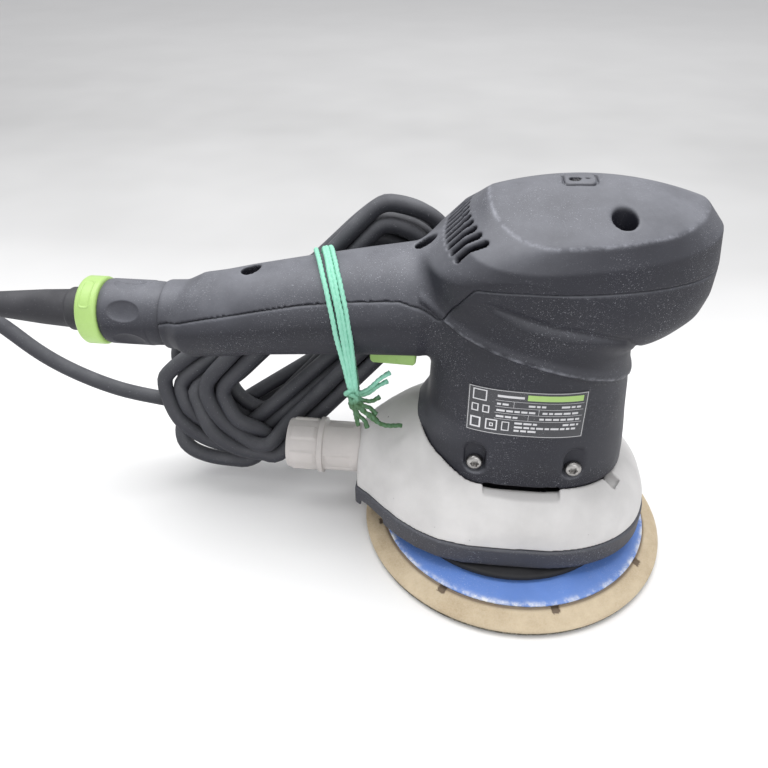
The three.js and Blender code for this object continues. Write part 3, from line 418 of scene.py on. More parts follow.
def resampled(points, spacing):
    """Evenly spaced points along a broken line."""
    steps = np.linalg.norm(np.diff(points, axis=0), axis=1)
    reach = np.concatenate([[0], np.cumsum(steps)])
    count = max(2, int(round(reach[-1] / spacing)) + 1)
    at = np.linspace(0, reach[-1], count)
    return np.stack([np.interp(at, reach, points[:, i]) for i in range(3)], 1)


def length_of(points):
    return float(np.linalg.norm(np.diff(points, axis=0), axis=1).sum())


def swept(points, radius, sides=16, shape=None):
    """A closed tube along points, with a frame that doesn't twist. shape(index, angle) scales the radius."""
    p = np.asarray(points, float)
    tangent = np.gradient(p, axis=0)
    tangent /= np.linalg.norm(tangent, axis=1)[:, None]
    normal = np.cross(tangent[0], [0.3, 0.2, 1.0])
    normal /= np.linalg.norm(normal)
    angle = np.arange(sides) * 2 * math.pi / sides
    rings = []
    for i in range(len(p)):
        normal = normal - tangent[i] * normal.dot(tangent[i])
        normal /= np.linalg.norm(normal)
        side = np.cross(tangent[i], normal)
        reach = radius * (np.ones(sides) if shape is None else shape(i / (len(p) - 1), angle))
        around = np.cos(angle)[:, None] * normal + np.sin(angle)[:, None] * side
        rings.append(p[i] + reach[:, None] * around)
    flat = np.concatenate([*rings, [p[0]], [p[-1]]])
    faces = grid_faces(len(p), sides)
    first, last, top = len(flat) - 2, len(flat) - 1, (len(p) - 1) * sides
    for j in range(sides):
        k = (j + 1) % sides
        faces.append((first, k, j))
        faces.append((last, top + j, top + k))
    return flat, faces


def stand_in(piece, slot, body, *nodes):
    """Fixes a piece to a body, in place of CAD nodes if any are named."""
    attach(piece, body)
    if nodes:
        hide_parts(*nodes)
    return piece


def place_round(name, shell, slot, body, *nodes, look=None, sharp_above=42):
    """A turned shell as a piece. Its look is the slot's own unless another is named."""
    piece = mesh_object(name, *shell, LOOK[look or slot], sharp_above=sharp_above)
    return stand_in(piece, slot, body, *nodes)


# ---- Mains lead ----
CORD_RADIUS = 4.0
PORT_HEIGHT = 40.0
STUB_RADIUS = 14.5
BOOT_REAR, PLUG_HEIGHT = -262.0, 112.0
MAINS_PLUG_AT = [-12, 102, 17]
LEAD_ROUTE = [
    [BOOT_REAR - 0.3, 0, 112], [-275, -1, 112], [-289, -6, 111], [-305, -14, 108], [-323, -18, 104],
    [-340, -10, 100], [-348, 7, 97], [-344, 25, 95], [-330, 37, 94], [-313, 39, 94], [-297, 33, 93],
    [-282, 25, 91.5], [-268, 20.5, 87.5], [-255, 20, 75], [-241, 20, 64.5], [-223, 20, 55.5],
    [-206, 20.4, 49.6], [-190.4, 23, 44.8],
]
TAIL_ROUTE = [
    [-121, 31, 13.5], [-113, 36, 11], [-104, 42, 7.5], [-92, 51, 4.6], [-76, 61, 4.1], [-60, 70, 4.1],
    [-46, 80, 4.6], [-40, 91, 7], [-31, 99.5, 12], [-22, 102, 16.3], [-12.4, 102, 17],
]
HANK_LOW, HANK_HIGH = np.array([-153.0, 26, 45]), np.array([-60.0, 59, 120])
HANK_SPAN = float(np.linalg.norm(HANK_HIGH - HANK_LOW))
ALONG = (HANK_HIGH - HANK_LOW) / HANK_SPAN
FACING = np.array([0.2, -0.95, 0.2])
FACING -= ALONG * FACING.dot(ALONG)
FACING /= np.linalg.norm(FACING)
ACROSS = np.cross(FACING, ALONG)
# Each layer of nested turns: depth towards the camera, shift (along, across), low radii and high radii.
LAYERS = [
    (-12.6, (4, 10), (27, 18.6), (27, 18.6)), (-4.2, (16, -6), (29, 20.6, 14), (26, 17.6, 13)),
    (4.2, (-1, 0), (34, 25.4, 17), (27, 18.6, 13)), (12.6, (14, -8), (28, 19.4), (28, 19.6)),
]
TURNS = [
    ((along + 0.6 * i, across, low), (111 + 0.5 * along - 3 * i, -1 - 0.5 * across, high), depth)
    for depth, (along, across), lows, highs in LAYERS
    for i, (low, high) in enumerate(zip(lows, highs))
]


# Angles in a turn: where the lead joins the first, where each starts to lean to the next, and two past the
# last turn's end.
FIRST_ANGLE, LEAN_ANGLE = -2.25, 1.7
LEAVING_ANGLES = (-math.pi + 0.45, -math.pi + 0.9)


def hank_point(turn, angle):
    """A point of one turn: angle runs from -pi at the low end through the lower side to the high end."""
    (low_u, low_v, low_r), (high_u, high_v, high_r), depth = turn
    at_high = -math.pi / 2 <= angle <= math.pi / 2
    u, v, r = (high_u, high_v, high_r) if at_high else (low_u, low_v, low_r)
    return HANK_LOW + ALONG * (u + r * math.cos(angle)) + ACROSS * (v + r * math.sin(angle)) + FACING * depth


def hank_route():
    """The turns one after another, each easing into the next as it passes round the low end."""
    points = []
    for i, turn in enumerate(TURNS):
        following = TURNS[min(i + 1, len(TURNS) - 1)]
        start = FIRST_ANGLE if i == 0 else -math.pi
        for angle in np.arange(start, math.pi, math.pi / 9):
            share = max(0.0, (angle - LEAN_ANGLE) / (math.pi - LEAN_ANGLE))
            points.append((1 - share) * hank_point(turn, angle) + share * hank_point(following, angle))
    return points + [hank_point(TURNS[-1], angle) for angle in (math.pi, *LEAVING_ANGLES)]


def handle_line(x):
    """Height and radius of the handle at x."""
    stations = [-165, -155.5, -151.5, -140, -120, -100, -74, -48, -20]
    z = np.interp(x, stations, [112, 112, 112.4, 114, 117.4, 120.4, 124, 127, 129])
    radius = np.interp(x, stations, [15.8, 16.4, 19.2, 19.7, 20.8, 22, 23.5, 25.2, 26])
    return z, radius


def settled(route, spacing, rounds):
    """The route pushed apart where its turns would lie in each other, and smoothed."""
    p = catmull(route, spacing)
    rest = p.copy()
    count = len(p)
    apart = 2 * CORD_RADIUS + 0.15
    index = np.arange(count)
    near = int(26 / spacing)  # points this close along the cord don't push each other
    held = int(30 / spacing)  # points at each end that stay where they are
    free = np.ones(count)
    free[:held] = 0
    free[-held:] = 0
    for _ in range(rounds):
        push = np.zeros_like(p)
        hits = np.zeros(count)
        for start in range(0, count, 200):
            block = slice(start, min(start + 200, count))
            gap = p[block, None, :] - p[None, :, :]
            reach = np.linalg.norm(gap, axis=2)
            touching = (reach < apart) & (np.abs(index[block, None] - index[None, :]) > near)
            amount = np.where(touching, (apart - reach) / np.maximum(reach, 1e-6) * 0.5, 0)
            push[block] += (gap * amount[:, :, None]).sum(1)
            hits[block] += touching.sum(1)
        p += push / np.maximum(hits, 1)[:, None] * 0.9 * free[:, None]
        bend = np.zeros_like(p)
        bend[1:-1] = 0.5 * (p[:-2] + p[2:]) - p[1:-1]
        stiff = np.zeros_like(p)
        stiff[1:-1] = 0.5 * (bend[:-2] + bend[2:]) - bend[1:-1]
        p -= stiff * 0.2 * free[:, None]
        p += (rest - p) * 0.02 * free[:, None]
        keep_clear(p, free)
    return p


def keep_clear(p, free):
    """Keeps the cord out of the handle, the hose stub and the floor."""
    z, radius = handle_line(p[:, 0])
    dy, dz = p[:, 1], p[:, 2] - z
    reach = np.hypot(dy, dz)
    low = radius + CORD_RADIUS + 0.5
    inside = (p[:, 0] > -196) & (p[:, 0] < -20) & (reach < low) & (free > 0)
    scale = np.where(inside, low / np.maximum(reach, 1e-6), 1)
    p[:, 1] *= scale
    p[:, 2] = z + dz * scale
    low = STUB_RADIUS + CORD_RADIUS
    stub = np.hypot(p[:, 1], p[:, 2] - PORT_HEIGHT)
    inside = (p[:, 0] > -118) & (p[:, 0] < -78) & (stub < low)
    scale = np.where(inside, low / np.maximum(stub, 1e-6), 1)
    p[:, 1] *= scale
    p[:, 2] = PORT_HEIGHT + (p[:, 2] - PORT_HEIGHT) * scale
    p[:, 2] = np.maximum(p[:, 2], CORD_RADIUS + 0.05)


def curve_piece(name, points, radius, material):
    data = bpy.data.curves.new(name, "CURVE")
    data.dimensions = "3D"
    data.bevel_depth = radius * 0.001
    data.bevel_resolution = 5
    data.use_fill_caps = True
    spline = data.splines.new("POLY")
    spline.points.add(len(points) - 1)
    flat = np.concatenate([metres(points), np.ones((len(points), 1))], 1).ravel()
    spline.points.foreach_set("co", flat)
    spline.use_smooth = True
    data.materials.append(material)
    piece = bpy.data.objects.new(name, data)
    bpy.context.scene.collection.objects.link(piece)
    return piece


def add_cords():
    route = LEAD_ROUTE + hank_route() + TAIL_ROUTE
    line = settled(route, 4.0, 160)
    line = resampled(line, 3.0)
    line = catmull(line[::2], 2.5)
    lead = curve_piece("mains_lead", line, CORD_RADIUS, LOOK["cord"])
    stand_in(lead, "cord", "housing", "cord_lead", "cord_hank", "cord_tail")
    plug = add_plug()
    tuple(metres([BOOT_REAR, 0, PLUG_HEIGHT]))
    add_tie(line)


def add_plug():
    """A round moulded mains plug with a ribbed neck and two pins."""
    body = turned(rounded([[0, 0], [4.7, 0], [6.5, 12], [9.5, 21], [14.5, 25], [16.6, 29], [16.8, 43],
                           [15.6, 46], [11, 46], [10.4, 45.2], [0, 45.2]], 1.6, 5), 72,
                  shift=lambda r, a, t: r - 0.35 * (np.cos(18 * t) > 0.2) * (27 < a < 42) * (r > 14))
    shells = [body]
    for offset in (-9.5, 9.5):
        pin = turned(rounded([[0, 44.8], [2.4, 44.8], [2.4, 62.5], [1.4, 64], [0, 64]], 0.5), 24)
        shells.append((pin[0] + [offset, 0, 0], pin[1]))
    for ring in np.arange(3.0, 19.0, 3.2):
        rib = turned(rounded([[4.2, ring], [5.4 + ring * 0.12, ring], [5.4 + ring * 0.12, ring + 1.6],
                              [4.2, ring + 1.6]], 0.3, 2, closed=True), 48)
        shells.append(rib)
    points, faces = joined(shells)
    points = np.stack([points[:, 2], points[:, 0], points[:, 1]], 1) + MAINS_PLUG_AT
    return place_round("mains_plug_body", (points, faces), "cord", "housing", "mains_plug", sharp_above=40)


# ---- String tie ----
STRING_RADIUS = 1.0
KNOT = np.array([-76.3, -24.0, 89.5])
TIE_LEAN = (0.30, 0.12)  # how far the tie's plane leans back per millimetre of y and z
TIE_DROPS = (10, 34)  # how far under the handle's middle the tie takes cord in


def tie_plane(y, z):
    """x of the leaning plane that the tie lies in."""
    return -87 - TIE_LEAN[0] * y - TIE_LEAN[1] * (z - 120)


def tie_loop(line):
    """The taut loop round the handle, the knot below it and the strands of cord behind it, and its normal."""
    middle, radius = handle_line(tie_plane(0, 120))
    discs = [(0.0, middle, radius + 1.1)]
    for x, y, z in line:
        if abs(x - tie_plane(y, z)) < 5 and TIE_DROPS[0] < middle - z < TIE_DROPS[1]:
            discs.append((y, z, CORD_RADIUS + 0.9))
    discs.append((KNOT[1] + 2, KNOT[2] + 1, 1.5))
    turn = np.linspace(0, 2 * math.pi, 40, endpoint=False)
    rim = [(y + r * math.cos(a), z + r * math.sin(a)) for y, z, r in discs for a in turn]
    hull = [rim[i] for i in convex_hull_2d([Vector(p) for p in rim])]
    start = min(range(len(hull)), key=lambda i: math.hypot(hull[i][0] - KNOT[1], hull[i][1] - KNOT[2]))
    hull = hull[start:] + hull[:start]
    if hull[len(hull) // 6][1] < hull[-len(hull) // 6][1]:
        hull = hull[::-1]
    flat = np.array([(tie_plane(y, z), y, z) for y, z in hull + hull[:1]])
    normal = np.array([1, *TIE_LEAN])
    return resampled(flat, 1.5), normal / np.linalg.norm(normal)


def add_tie(line):
    loop, normal = tie_loop(line)
    count = len(loop)
    rng = np.random.default_rng(5)
    offsets = [-3.0, -0.9, 1.1, 3.2]
    strand = [KNOT + [1.5, -0.3, -16], KNOT + [0.4, -0.8, -8], KNOT + [0, -0.6, -2]]
    for turn, offset in enumerate(offsets):
        following = offsets[turn + 1] if turn + 1 < len(offsets) else offsets[turn]
        wander = np.cumsum(rng.normal(0, 0.05, count))
        for i in range(0, count, 3):
            t = i / count
            side = offset + (following - offset) * max(0, min(1, (t - 0.4) / 0.3))
            pinch = 0.35 + 0.65 * min(1, min(t, 1 - t) / 0.12)
            strand.append(loop[i] + normal * (side * pinch + wander[i]) - [0, 0.25 * (turn % 2), 0])
    strand += [KNOT + [1, -1, -1], KNOT + [6, -1, -9], KNOT + [13, 0.5, -15.5], KNOT + [21, 3.5, -17.5]]
    route = catmull(strand, 0.8)
    twist = lambda share, angle: 1 + 0.13 * np.cos(3 * (angle - share * length_of(route) * 2 * math.pi / 7.5))
    tie = mesh_object("string_tie", *swept(route, STRING_RADIUS, 14, twist), LOOK["string"])
    stand_in(tie, "string", "housing", "cord_tie", "tie_tail")
    ends = add_string_ends()
    tuple(metres(route[0]))
    metres(route[::2]).tolist()


def add_string_ends():
    """The granny knot, and the short ends that stick out of it."""
    shells = []
    a = np.linspace(0, 2 * math.pi, 60)
    for turn, (tilt, size) in enumerate([(0.2, 2.5), (1.2, 2.3), (2.3, 2.4), (0.8, 2.1)]):
        ring = np.stack([size * np.cos(a), 1.4 * np.sin(2 * a + turn), size * np.sin(a)], 1)
        c, s = math.cos(tilt), math.sin(tilt)
        ring = ring @ np.array([[c, s, 0], [-s, c, 0], [0, 0, 1]]).T
        shells.append(swept(ring + KNOT + [0.6 * turn - 1, -0.4, -1.6 * turn + 0.6], 1.05, 10))
    ends = [
        [(0, 0, 0), (4, -1, -4), (7, 0, -6), (9.5, 1, -10)],
        [(1, 0, -1), (5, 1, -3), (8, 2, -3.5), (11, 4, -2.5)],
        [(1, 0, 0), (6, 2, 0.5), (10, 5, 2.5), (14, 8, 3.5)],
        [(1, 0, 1), (6, 3, 2), (11, 6, 6), (15, 9, 7.5)],
        [(0, 0, -3), (1.5, -1, -9), (4.5, -0.5, -13), (5.5, 0, -17)],
        [(0, 0, -2), (4, -1.5, -7), (8, -1, -9.5), (10, 0, -13)],
    ]
    for end in ends:
        path = catmull([KNOT + np.array(p, float) for p in end], 0.8)
        twist = lambda share, angle, n=len(path): (1 + 0.12 * np.cos(3 * (angle - share * n * 0.67))) * (
            1 + 0.25 * max(0.0, share - 0.8) * 5)
        shells.append(swept(path, 0.95, 12, twist))
    piece = mesh_object("string_knot", *joined(shells), LOOK["string"])
    return stand_in(piece, "string", "housing")


# ---- Distance fields for the moulded shells ----
def smooth_max(a, b, blend=0.6):
    share = np.maximum(blend - np.abs(a - b), 0) / blend
    return np.maximum(a, b) + share * share * blend * 0.25


def smooth_min(a, b, blend=0.6):
    return -smooth_max(-a, -b, blend)


class Block:
    """A box of evenly spaced points with a signed distance at each, negative inside the solid."""

    def __init__(self, low, high, step):
        self.low, self.step = np.array(low, float), step
        self.axes = [np.arange(a, b + step, step, dtype=np.float32) for a, b in zip(low, high)]
        self.x, self.y, self.z = np.ix_(*self.axes)
        self.field = None

    def evened(self, field):
        """The field divided by its own slope, so that it is a distance close to the surface."""
        slopes = np.gradient(field, self.step)
        steepness = np.sqrt(sum(slope * slope for slope in slopes))
        return field / np.clip(steepness, 0.35, 4.0)

    def part(self, shape, low, high):
        """The part of the field between two corners, with shape(x, y, z) there."""
        span = tuple(slice(*np.searchsorted(axis, (a, b))) for axis, a, b in zip(self.axes, low, high))
        return span, shape(*np.ix_(*[axis[s] for axis, s in zip(self.axes, span)]))

    def cut(self, shape, low, high, blend):
        """Cuts a shape out of the field between two corners."""
        span, tool = self.part(shape, low, high)
        self.field[span] = smooth_max(self.field[span], -tool, blend)

    def add(self, shape, low, high, blend):
        """Adds a shape to the field between two corners."""
        span, extra = self.part(shape, low, high)
        self.field[span] = smooth_min(self.field[span], extra, blend)

    def surface(self):
        reach = 3 * self.step
        volume = openvdb.FloatGrid(reach)
        volume.copyFromArray(np.ascontiguousarray(np.clip(self.field, -reach, reach), dtype=np.float32))
        points, quads = volume.convertToQuads(0.0)
        return points * self.step + self.low, quads


def on_both_sides(change, shape, low, high, blend):
    """Makes a cut or an addition that is given for +Y there, and mirrored at -Y."""
    for side in (-1, 1):
        near, far = sorted((side * low[1], side * high[1]))
        change(lambda x, y, z: shape(x, side * y, z), (low[0], near, low[2]), (high[0], far, high[2]), blend)


def rod(x, y, centre, radius):
    """Distance to an endless round bar along Z."""
    return np.hypot(x - centre[0], y - centre[1]) - radius


def stadium(a, b, length, width):
    """Distance to an outline with round ends, along a."""
    return np.hypot(np.maximum(np.abs(a) - (length - width) / 2, 0), b) - width / 2


def box(x, y, z, low, high, corner=0.0):
    """Distance to a box with rounded edges."""
    reach = [np.abs(v - (a + b) / 2) - (b - a) / 2 + corner for v, a, b in zip((x, y, z), low, high)]
    outside = np.sqrt(sum(np.maximum(r, 0) ** 2 for r in reach))
    return outside + np.minimum(np.maximum(np.maximum(reach[0], reach[1]), reach[2]), 0) - corner


def eased(stations, values, at, blur):
    """Values between stations, with their corners rounded over about that many millimetres."""
    fine = np.arange(stations[0] - 20, stations[-1] + 20, 0.25)
    line = np.interp(fine, stations, values)
    width = int(4 * blur / 0.25)
    kernel = np.exp(-0.5 * (np.arange(-width, width + 1) * 0.25 / blur) ** 2)
    padded = np.pad(line, width, mode="edge")
    return np.interp(at, fine, np.convolve(padded, kernel / kernel.sum(), "valid")).astype(np.float32)


STEP = 0.8
WALL = 2.8
HEAD_TOP, NECK_BOTTOM = 183.4, 49.3
ROOF_CROWN_X, ROOF_HALF = 16, 35
# Sections of the upright neck: height, back, front, half width, middle, nose power, tail power.
NECK_SECTIONS = np.array([
    (49.3, -46, 45, 34.5, 0, 2.3, 2.6), (52.5, -49, 48.9, 37.2, 0, 2.3, 2.6),
    (62, -50.9, 48.4, 37.4, 0, 2.3, 2.6), (72, -49.9, 47.4, 37.0, 0, 2.3, 2.6),
    (83, -45.9, 46.0, 36.6, 0, 2.3, 2.6), (98, -45.4, 44.6, 36.0, 0, 2.3, 2.6),
    (105, -45.2, 42.8, 35.8, 0, 2.3, 2.6), (112, -45, 41.5, 35.6, 0, 2.3, 2.6),
    (117, -45, 40.6, 35.5, 0, 2.3, 2.6), (160, -45, 40.6, 35.5, 0, 2.3, 2.6),
])
NECK_MOUTH = (-42, 41, 31, 0, 2.3, 2.6)  # the opening at its foot, in the same order without the height
COLLAR_TOP = 146.0
# Sections of the head that leans forward over it, in the same order.
HEAD_SECTIONS = np.array([
    (104, -30, 14, 20, -8, 2.1, 2.6), (113, -40, 31, 30, -9, 2.1, 2.6), (117, -45, 40, 39, -10, 2.1, 2.6),
    (120, -45.5, 49.5, 39, -11, 2.05, 2.6), (124, -46, 58.5, 39, -12, 2.0, 2.6),
    (131, -46, 65.8, 39, -13, 2.0, 2.6), (140, -46.5, 68.4, 39, -15, 2.0, 2.6),
    (152, -47.5, 68.6, 39, -15, 2.0, 2.6), (167, -33, 66.5, 38, -6, 2.0, 2.5),
])
WALL_TOP = 167.0
# The ridge round the roof, as a section: back, front, half width, middle, nose power, tail power.
RIDGE = (-24, 59, 35, 5, 2.1, 2.2)
RIDGE_FALL = 9.0  # how far below the ridge the walls start to lean in
UNDERSIDE_TILT = 0.42


def roof(x, y):
    return HEAD_TOP - 0.004 * (x - ROOF_CROWN_X) ** 2 - 14.5 * (np.abs(y) / ROOF_HALF) ** 1.5


def egg_distance(x, y, back, front, half, middle, nose, tail):
    """Distance along the ray from the section's middle to its outline."""
    ahead = x > middle
    reach = np.where(ahead, front - middle, middle - back)
    power = np.where(ahead, nose, tail)
    share = ((np.abs(x - middle) / reach) ** power + (np.abs(y) / half) ** power) ** (1 / power)
    ray = np.hypot(x - middle, y)
    return ray - ray / np.maximum(share, 1e-3)


def ridge_curve(count):
    """Points on the ridge round the roof."""
    back, front, half, middle, nose, tail = RIDGE
    turn = np.linspace(-math.pi, math.pi, count)
    along, across = np.cos(turn), np.sin(turn)
    ahead = along > 0
    power = 2 / np.where(ahead, nose, tail)
    x = middle + np.where(ahead, front - middle, middle - back) * np.sign(along) * np.abs(along) ** power
    y = half * np.sign(across) * np.abs(across) ** power
    return x, y


def between(sections, height):
    """A section's six values at each height, with the steps between sections rounded over."""
    return [eased(sections[:, 0], sections[:, i + 1], height.ravel(), width).reshape(height.shape)
            for i, width in enumerate((1.3, 1.3, 1.3, 2.5, 2.5, 2.5))]


def head_walls(x, y, z):
    rx, ry = ridge_curve(361)
    angle = np.arctan2(ry, rx - RIDGE[3])
    order = np.argsort(angle)
    rim = np.interp(np.arctan2(y, x - RIDGE[3]), angle[order], roof(rx, ry)[order]).astype(np.float32)
    top = np.minimum(rim - RIDGE_FALL, WALL_TOP)
    height = np.minimum(z, top)
    columns = between(HEAD_SECTIONS, height)
    tilted = z + UNDERSIDE_TILT * np.clip(x, -8, 45)
    widest = eased([118, 128, 137, 143, 150, 156], [18, 27, 34.8, 37.3, 38.6, 39.2], tilted.ravel(), 1.5)
    columns[2] = np.minimum(columns[2], widest.reshape(tilted.shape))
    share = np.clip((z - top) / (rim - top), 0, 1)
    columns = [column + share * (goal - column) for column, goal in zip(columns, RIDGE)]
    return egg_distance(x, y, *columns)


def neck_walls(x, y, z):
    return egg_distance(x, y, *between(NECK_SECTIONS, z))


def body_walls(block):
    """The neck and the head over it, with a soft valley where they meet."""
    x, y, z = block.x, block.y, block.z
    neck = np.maximum(block.evened(neck_walls(x, y, z)), z - COLLAR_TOP)
    return smooth_min(neck, block.evened(head_walls(x, y, z)), 3.0)


def handle_distance(x, y, z):
    stations = [-185, -165, -156.2, -151.0, -140, -120, -100, -74, -48, -20, 0]
    centre = eased(stations, [112, 112, 112, 112.4, 114, 117.4, 120.4, 124, 127, 129, 129], x.ravel(), 1.2)
    centre = centre.reshape(x.shape)
    lift = np.clip((z - 112) / 19, -1, 1)
    rim_shift = (6.15 * lift**2 + 2.15 * lift - 5) * np.clip((-125 - x) / 10, 0, 1)
    fine = np.arange(-190, 5, 0.25)
    radii = eased(stations, [15.8, 15.8, 16.3, 19.3, 19.7, 20.8, 22, 23.5, 25.2, 26, 26], fine, 0.7)
    radius = np.interp(x - rim_shift, fine, radii).astype(np.float32)
    side = np.hypot(y, z - centre) - radius
    return smooth_max(side, np.maximum(-165 - x, x + 12), 1.0)


# The fold where the neck leaves the band above it: x and height.
FOLD = ([-60, -46, -39.5, -30.7, -17.5, -4.4, 8.6, 27.9, 39.7, 50],
        [143, 136, 131.5, 126.4, 121.8, 117.7, 114.2, 108.3, 103.5, 99])
FOLD_DEPTH = 1.5
# The soft valley between the head and the band under it: x and height.
VALLEY = ([-30, -19.6, -6.8, 3.1, 15.8, 33.6, 41], [147, 143.8, 138.9, 136.2, 133.5, 128.4, 120])
# The line between the cover and the motor housing: x and height.
SEAM = (
    [-200, -165, -140, -100, -79, -57, -48, -40, -30, -27, -22, 120],
    [114, 115, 121, 130.5, 134, 136.5, 134.5, 129.5, 147, 151, 151, 151],
)
SEAM_GAP = 0.14


def seam_distance(x, z):
    """Distance above the line between the cover and the motor housing."""
    line = eased(SEAM[0], SEAM[1], x.ravel(), 0.7)
    slope = np.gradient(line, x.ravel())
    return (z - line.reshape(x.shape)) / np.sqrt(1 + slope.reshape(x.shape) ** 2)


def outer_form(block):
    """The neck, head and handle as one form, with a fold where the neck leaves the head."""
    x, y, z = block.x, block.y, block.z
    body = smooth_max(body_walls(block), z - roof(x, y), 0.9)
    body = smooth_max(body, NECK_BOTTOM - z, 0.8)
    handle = handle_distance(x, y, z)
    fold = np.interp(x, *FOLD).astype(np.float32)
    below = np.clip((fold - z) / 0.9 + 0.5, 0, 1) * np.clip((x + 49) / 4, 0, 1)
    valley = np.interp(x, *VALLEY).astype(np.float32)
    bend = np.exp(-(((z - valley) / 1.7) ** 2)) - 0.6 * np.exp(-(((z - valley + 5) / 3) ** 2))
    bend = bend * np.clip((x + 26) / 8, 0, 1) - 0.5 * np.exp(-(((z - fold - 2.2) / 1.8) ** 2)) * (x > -49)
    return smooth_min(body, handle, 7.0) + FOLD_DEPTH * below + bend


# Screws: x, y, seat height and well radius. The foot screws lie along Y, given as x and side.
HEAD_SCREWS = [(25, -22, 154, 4.7), (25, 22, 154, 4.7)]
HANDLE_SCREWS = [(-124, 0, 116.8 + 20.6 - 7, 4.4), (-48, 0, 127 + 25.2 - 7, 4.4)]
HOOD_SCREWS = [(-21.5, -1), (21.5, -1), (-21.5, 1), (21.5, 1)]
SCREW_HEIGHT = 63.5
DIAL_X = 10
LATCH_TOP, LATCH_LEDGE = 53.7, 50.2


def vent_slots(block):
    for i in range(13):
        y0 = (i - 6) * 4.6
        forward = 6.5 * (abs(y0) / 28) ** 2
        x0, z0 = -35 + forward, 163 - forward * 0.25

        def slot(x, y, z):
            up = ((x - x0) + (z - z0)) * 0.70711
            deep = ((z - z0) - (x - x0)) * 0.70711
            return np.maximum(stadium(up, y - y0, 14.5, 2.7), np.abs(deep - 2) - 9)

        block.cut(slot, (-56, y0 - 3, 144), (-10, y0 + 3, 184), 0.3)


def near_ridge(points):
    """How near each point is to the ridge round the roof, from 0 to 1."""
    x, y = ridge_curve(400)
    curve = np.stack([x, y, roof(x, y)], 1)
    near = np.full(len(points), 99.0)
    high = np.where(points[:, 2] > 164)[0]
    for start in range(0, len(high), 4000):
        some = high[start : start + 4000]
        near[some] = np.linalg.norm(points[some, None] - curve[None], axis=2).min(1)
    return np.exp(-((near / 0.8) ** 2))


def set_attribute(piece, name, values):
    """Stores a value at each point of a mesh, for its material to read."""
    layer = piece.data.attributes.new(name, "FLOAT", "POINT")
    layer.data.foreach_set("value", np.asarray(values, np.float32))


def field_piece(name, block, slot, body, node):
    points, quads = block.surface()
    return stand_in(mesh_object(name, points, quads, LOOK[slot]), slot, body, node), points


def add_cover():
    block = Block((-170, -44, 92), (72, 44, 188), STEP * 0.82)
    outer = outer_form(block)
    x, y, z = block.x, block.y, block.z
    shell = smooth_max(outer, -(outer + WALL), 0.4)
    block.field = shell
    for sx, sy, seat, well in HEAD_SCREWS + HANDLE_SCREWS:
        post = np.maximum(np.maximum(rod(x, y, (sx, sy), 6.6), seat - 3 - z), outer + 0.4)
        block.field = np.minimum(block.field, post)
    block.field = smooth_max(block.field, SEAM_GAP - seam_distance(x, z), 0.25)
    for sx, sy, seat, well in HEAD_SCREWS + HANDLE_SCREWS:
        def bore(px, py, pz):
            return np.maximum(rod(px, py, (sx, sy), well), seat - pz)
        block.cut(bore, (sx - 9, sy - 9, seat - 4), (sx + 9, sy + 9, 190), 1.2 if abs(sy) else 0.8)
    vent_slots(block)
    top = roof(DIAL_X, 0)
    low, high = (DIAL_X - 12, -12, top - 8), (DIAL_X + 12, 12, top + 4)

    def panel(half_x, half_y, corner):
        """Distance to a rounded rectangle round the dial, as seen from above."""
        def shape(px, py):
            qx, qy = np.abs(px - DIAL_X) - half_x + corner, np.abs(py) - half_y + corner
            return np.hypot(np.maximum(qx, 0), np.maximum(qy, 0)) + np.minimum(np.maximum(qx, qy), 0) - corner
        return shape

    dish, rim = panel(8.1, 9.0, 4.5), panel(6.3, 6.0, 2.6)
    # a shallow dish, a groove round it, the window that the dial shows through, and a small pinhole
    for outline, depth, blend in (
        (dish, 0.4, 0.5),
        (lambda px, py: np.abs(rim(px, py)) - 0.4, 1.6, 0.2),
        (lambda px, py: stadium(px - DIAL_X + 1.7, py + 1.4, 4.4, 2.8), 99, 0.2),
        (lambda px, py: rod(px, py, (DIAL_X + 3, -1.0), 0.75), 2, 0.2),
    ):
        pocket = lambda px, py, pz: np.maximum(outline(px, py), roof(px, py) - depth - pz)
        block.cut(pocket, low, high, blend)
    piece, points = field_piece("top_cover_shell", block, "housing", "housing", "top_cover")
    # painted highlight, partly wear: a pale line along the ridge round the roof
    set_attribute(piece, "wear_and_highlight", near_ridge(points) * 0.6)


